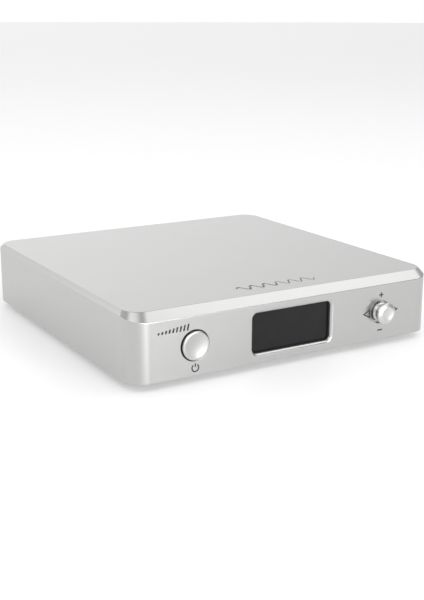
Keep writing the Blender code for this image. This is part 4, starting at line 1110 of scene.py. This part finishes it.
def make_bottom_plate():
    """The base plate, with its shallow seats for the feet, its screw holes and four posts."""
    low, high = box_mm("bottom_plate")
    plate_top = low.z + PLATE_THICKNESS
    half_depth = (high.y - low.y) / 2
    radius = CORNER_RADIUS - WALL - 0.3
    outline = rounded_rectangle(high.x, half_depth, radius, 8, (0.0, (low.y + high.y) / 2))
    plate = Solid().prism(outline, "Z", plate_top, low.z, 0.2)
    holes, posts = Solid(), Solid()
    for corner in CORNERS:
        foot = middle(f"foot_{corner}")
        lipped_bore(
            holes, FOOT_HOLE_RADIUS, (foot.x, foot.y), "Z", low.z, 0.6, 0.15, 3, points=96
        )
        screw = middle(f"bottom_screw_{corner}")
        sink = [
            (0.0, low.z - 1.0), (2.85, low.z - 1.0), (2.85, low.z), (2.7, low.z + 0.15),
            (SCREW_HOLE_RADIUS, low.z + 1.4), (SCREW_HOLE_RADIUS, plate_top + 1.0),
            (0.0, plate_top + 1.0),
        ]
        holes.turned(sink, "Z", (screw.x, screw.y, 0.0))
        screw = middle(f"board_screw_{corner}")
        post = tube(plate_top - 0.5, high.z, 3.0, SCREW_HOLE_RADIUS)
        posts.turned(post, "Z", (screw.x, screw.y, 0.0), 48)
    piece(
        "bottom_cover", plate, "plate_aluminium", stands_for=["bottom_plate"], joined=posts,
        cut=holes,
    )


def make_feet():
    """Moulded rubber feet with a rounded rim and a slightly hollow sole."""
    for corner in CORNERS:
        name = f"foot_{corner}"
        low, high = box_mm(name)
        centre = (low + high) / 2
        radius = (high.x - low.x) / 2
        outer = rounded([
            (radius - 2.4, low.z), (radius - 0.25, low.z), (radius, low.z + 1.2), (radius, high.z),
            (0.0, high.z),
        ], 0.5, 6)
        hollow = [(0.0, low.z + 0.35), (radius - 3.2, low.z + 0.35), (radius - 2.6, low.z + 0.1)]
        foot = Solid().turned(hollow + outer, "Z", (centre.x, centre.y, 0.0), 72)
        piece(name + "_pad", foot, "foot_rubber", stands_for=[name])


def main():
    dress(make_case(), "case_aluminium", stands_for=["top_shell"])
    make_motif()
    front_marks()
    make_window()
    make_button()
    make_knob()
    make_rear_panel()
    rear_marks()
    make_line_jacks()
    make_phono_sockets()
    make_optical()
    make_usb()
    make_antenna()
    make_power_jack()
    make_screws()
    make_bottom_plate()
    make_feet()


# ---------------- stage

def direction_of(azimuth, elevation):
    """The unit vector towards a place around the object, with azimuth 0 in front and 90 right."""
    turn, lift = math.radians(azimuth), math.radians(elevation)
    return Vector((
        math.sin(turn) * math.cos(lift), -math.cos(turn) * math.cos(lift), math.sin(lift),
    ))


def add_camera():
    """The camera at the photo's own angle."""
    back = direction_of(CAMERA_AZIMUTH, CAMERA_ELEVATION)
    right = (-back).cross(Vector((0.0, 0.0, 1.0))).normalized()
    up = right.cross(-back)
    roll = math.radians(CAMERA_ROLL)
    right, up = (
        right * math.cos(roll) + up * math.sin(roll),
        up * math.cos(roll) - right * math.sin(roll),
    )
    data = bpy.data.cameras.new("camera")
    data.lens = LENS
    data.clip_start = 0.01
    camera = bpy.data.objects.new("camera", data)
    turn = Matrix((right, up, back)).transposed().to_4x4()
    camera.matrix_world = Matrix.Translation(Vector(CAMERA_PLACE) * MM) @ turn
    bpy.context.scene.collection.objects.link(camera)
    bpy.context.scene.camera = camera


def add_softbox(name, azimuth, elevation, width, height, radiance):
    """A rectangular light that faces the object. Its sizes and its distance are metres."""
    towards = direction_of(azimuth, elevation)
    data = bpy.data.lights.new(name, "AREA")
    data.shape = "RECTANGLE"
    data.size = width
    data.size_y = height
    data.energy = 4 * radiance * width * height
    light = bpy.data.objects.new(name, data)
    light.visible_camera = False
    turn = towards.to_track_quat("Z", "Y").to_matrix().to_4x4()
    light.matrix_world = Matrix.Translation(towards * SOFTBOX_DISTANCE) @ turn
    bpy.context.scene.collection.objects.link(light)


def make_surroundings():
    """Soft white surroundings, brighter behind and darker at the front right; seen directly, white."""
    world = bpy.data.worlds.new("studio")
    world.use_nodes = True
    tree = world.node_tree
    background = tree.nodes["Background"]
    background.inputs["Color"].default_value = (1.0, 1.0, 1.0, 1.0)
    direction = tree.nodes.new("ShaderNodeTexCoord").outputs["Generated"]

    def maths(operation, *values):
        node = tree.nodes.new("ShaderNodeMath")
        node.operation = operation
        for socket, value in zip(node.inputs, values):
            if isinstance(value, float):
                socket.default_value = value
            else:
                tree.links.new(value, socket)
        return node.outputs["Value"]

    light = WORLD_LIGHT
    for azimuth, elevation, strength in WORLD_PATCHES:
        facing = tree.nodes.new("ShaderNodeVectorMath")
        facing.operation = "DOT_PRODUCT"
        facing.inputs[1].default_value = direction_of(azimuth, elevation)
        tree.links.new(direction, facing.inputs[0])
        patch = maths("POWER", maths("MAXIMUM", facing.outputs["Value"], 0.0), PATCH_FALLOFF)
        light = maths("MULTIPLY_ADD", patch, strength, light)
    seen_directly = tree.nodes.new("ShaderNodeLightPath").outputs["Is Camera Ray"]
    tree.links.new(maths("MAXIMUM", light, seen_directly), background.inputs["Strength"])
    return world


def add_stage():
    """A pale floor, soft lights and white surroundings."""
    ground = Solid().turned(tube(-1.0, 0.0, FLOOR_RADIUS), "Z", steps=96).to_object("floor")
    look = Look("floor", (0.70, 0.70, 0.70), 0.75).mottle(60.0, 0.004)
    look.set(Emission_Color=(1.0, 1.0, 1.0, 1.0), Emission_Strength=FLOOR_GLOW)
    ground.data.materials.append(look.material)
    bpy.context.scene.world = make_surroundings()
    for name, *placing in SOFTBOXES:
        add_softbox(name, *placing)
    bpy.context.scene.view_settings.view_transform = "Standard"


def dress_inner_parts():
    """Gives the CAD nodes that no piece stands for a procedural look on their own shape."""
    for part in frame["record"]["subparts"]:
        node = frame["nodes"][part["node"]]
        if not node.hide_render:
            node.data.materials.clear()
            node.data.materials.append(LOOKS[part["material_slot"]])


main()
add_camera()
add_stage()
dress_inner_parts()
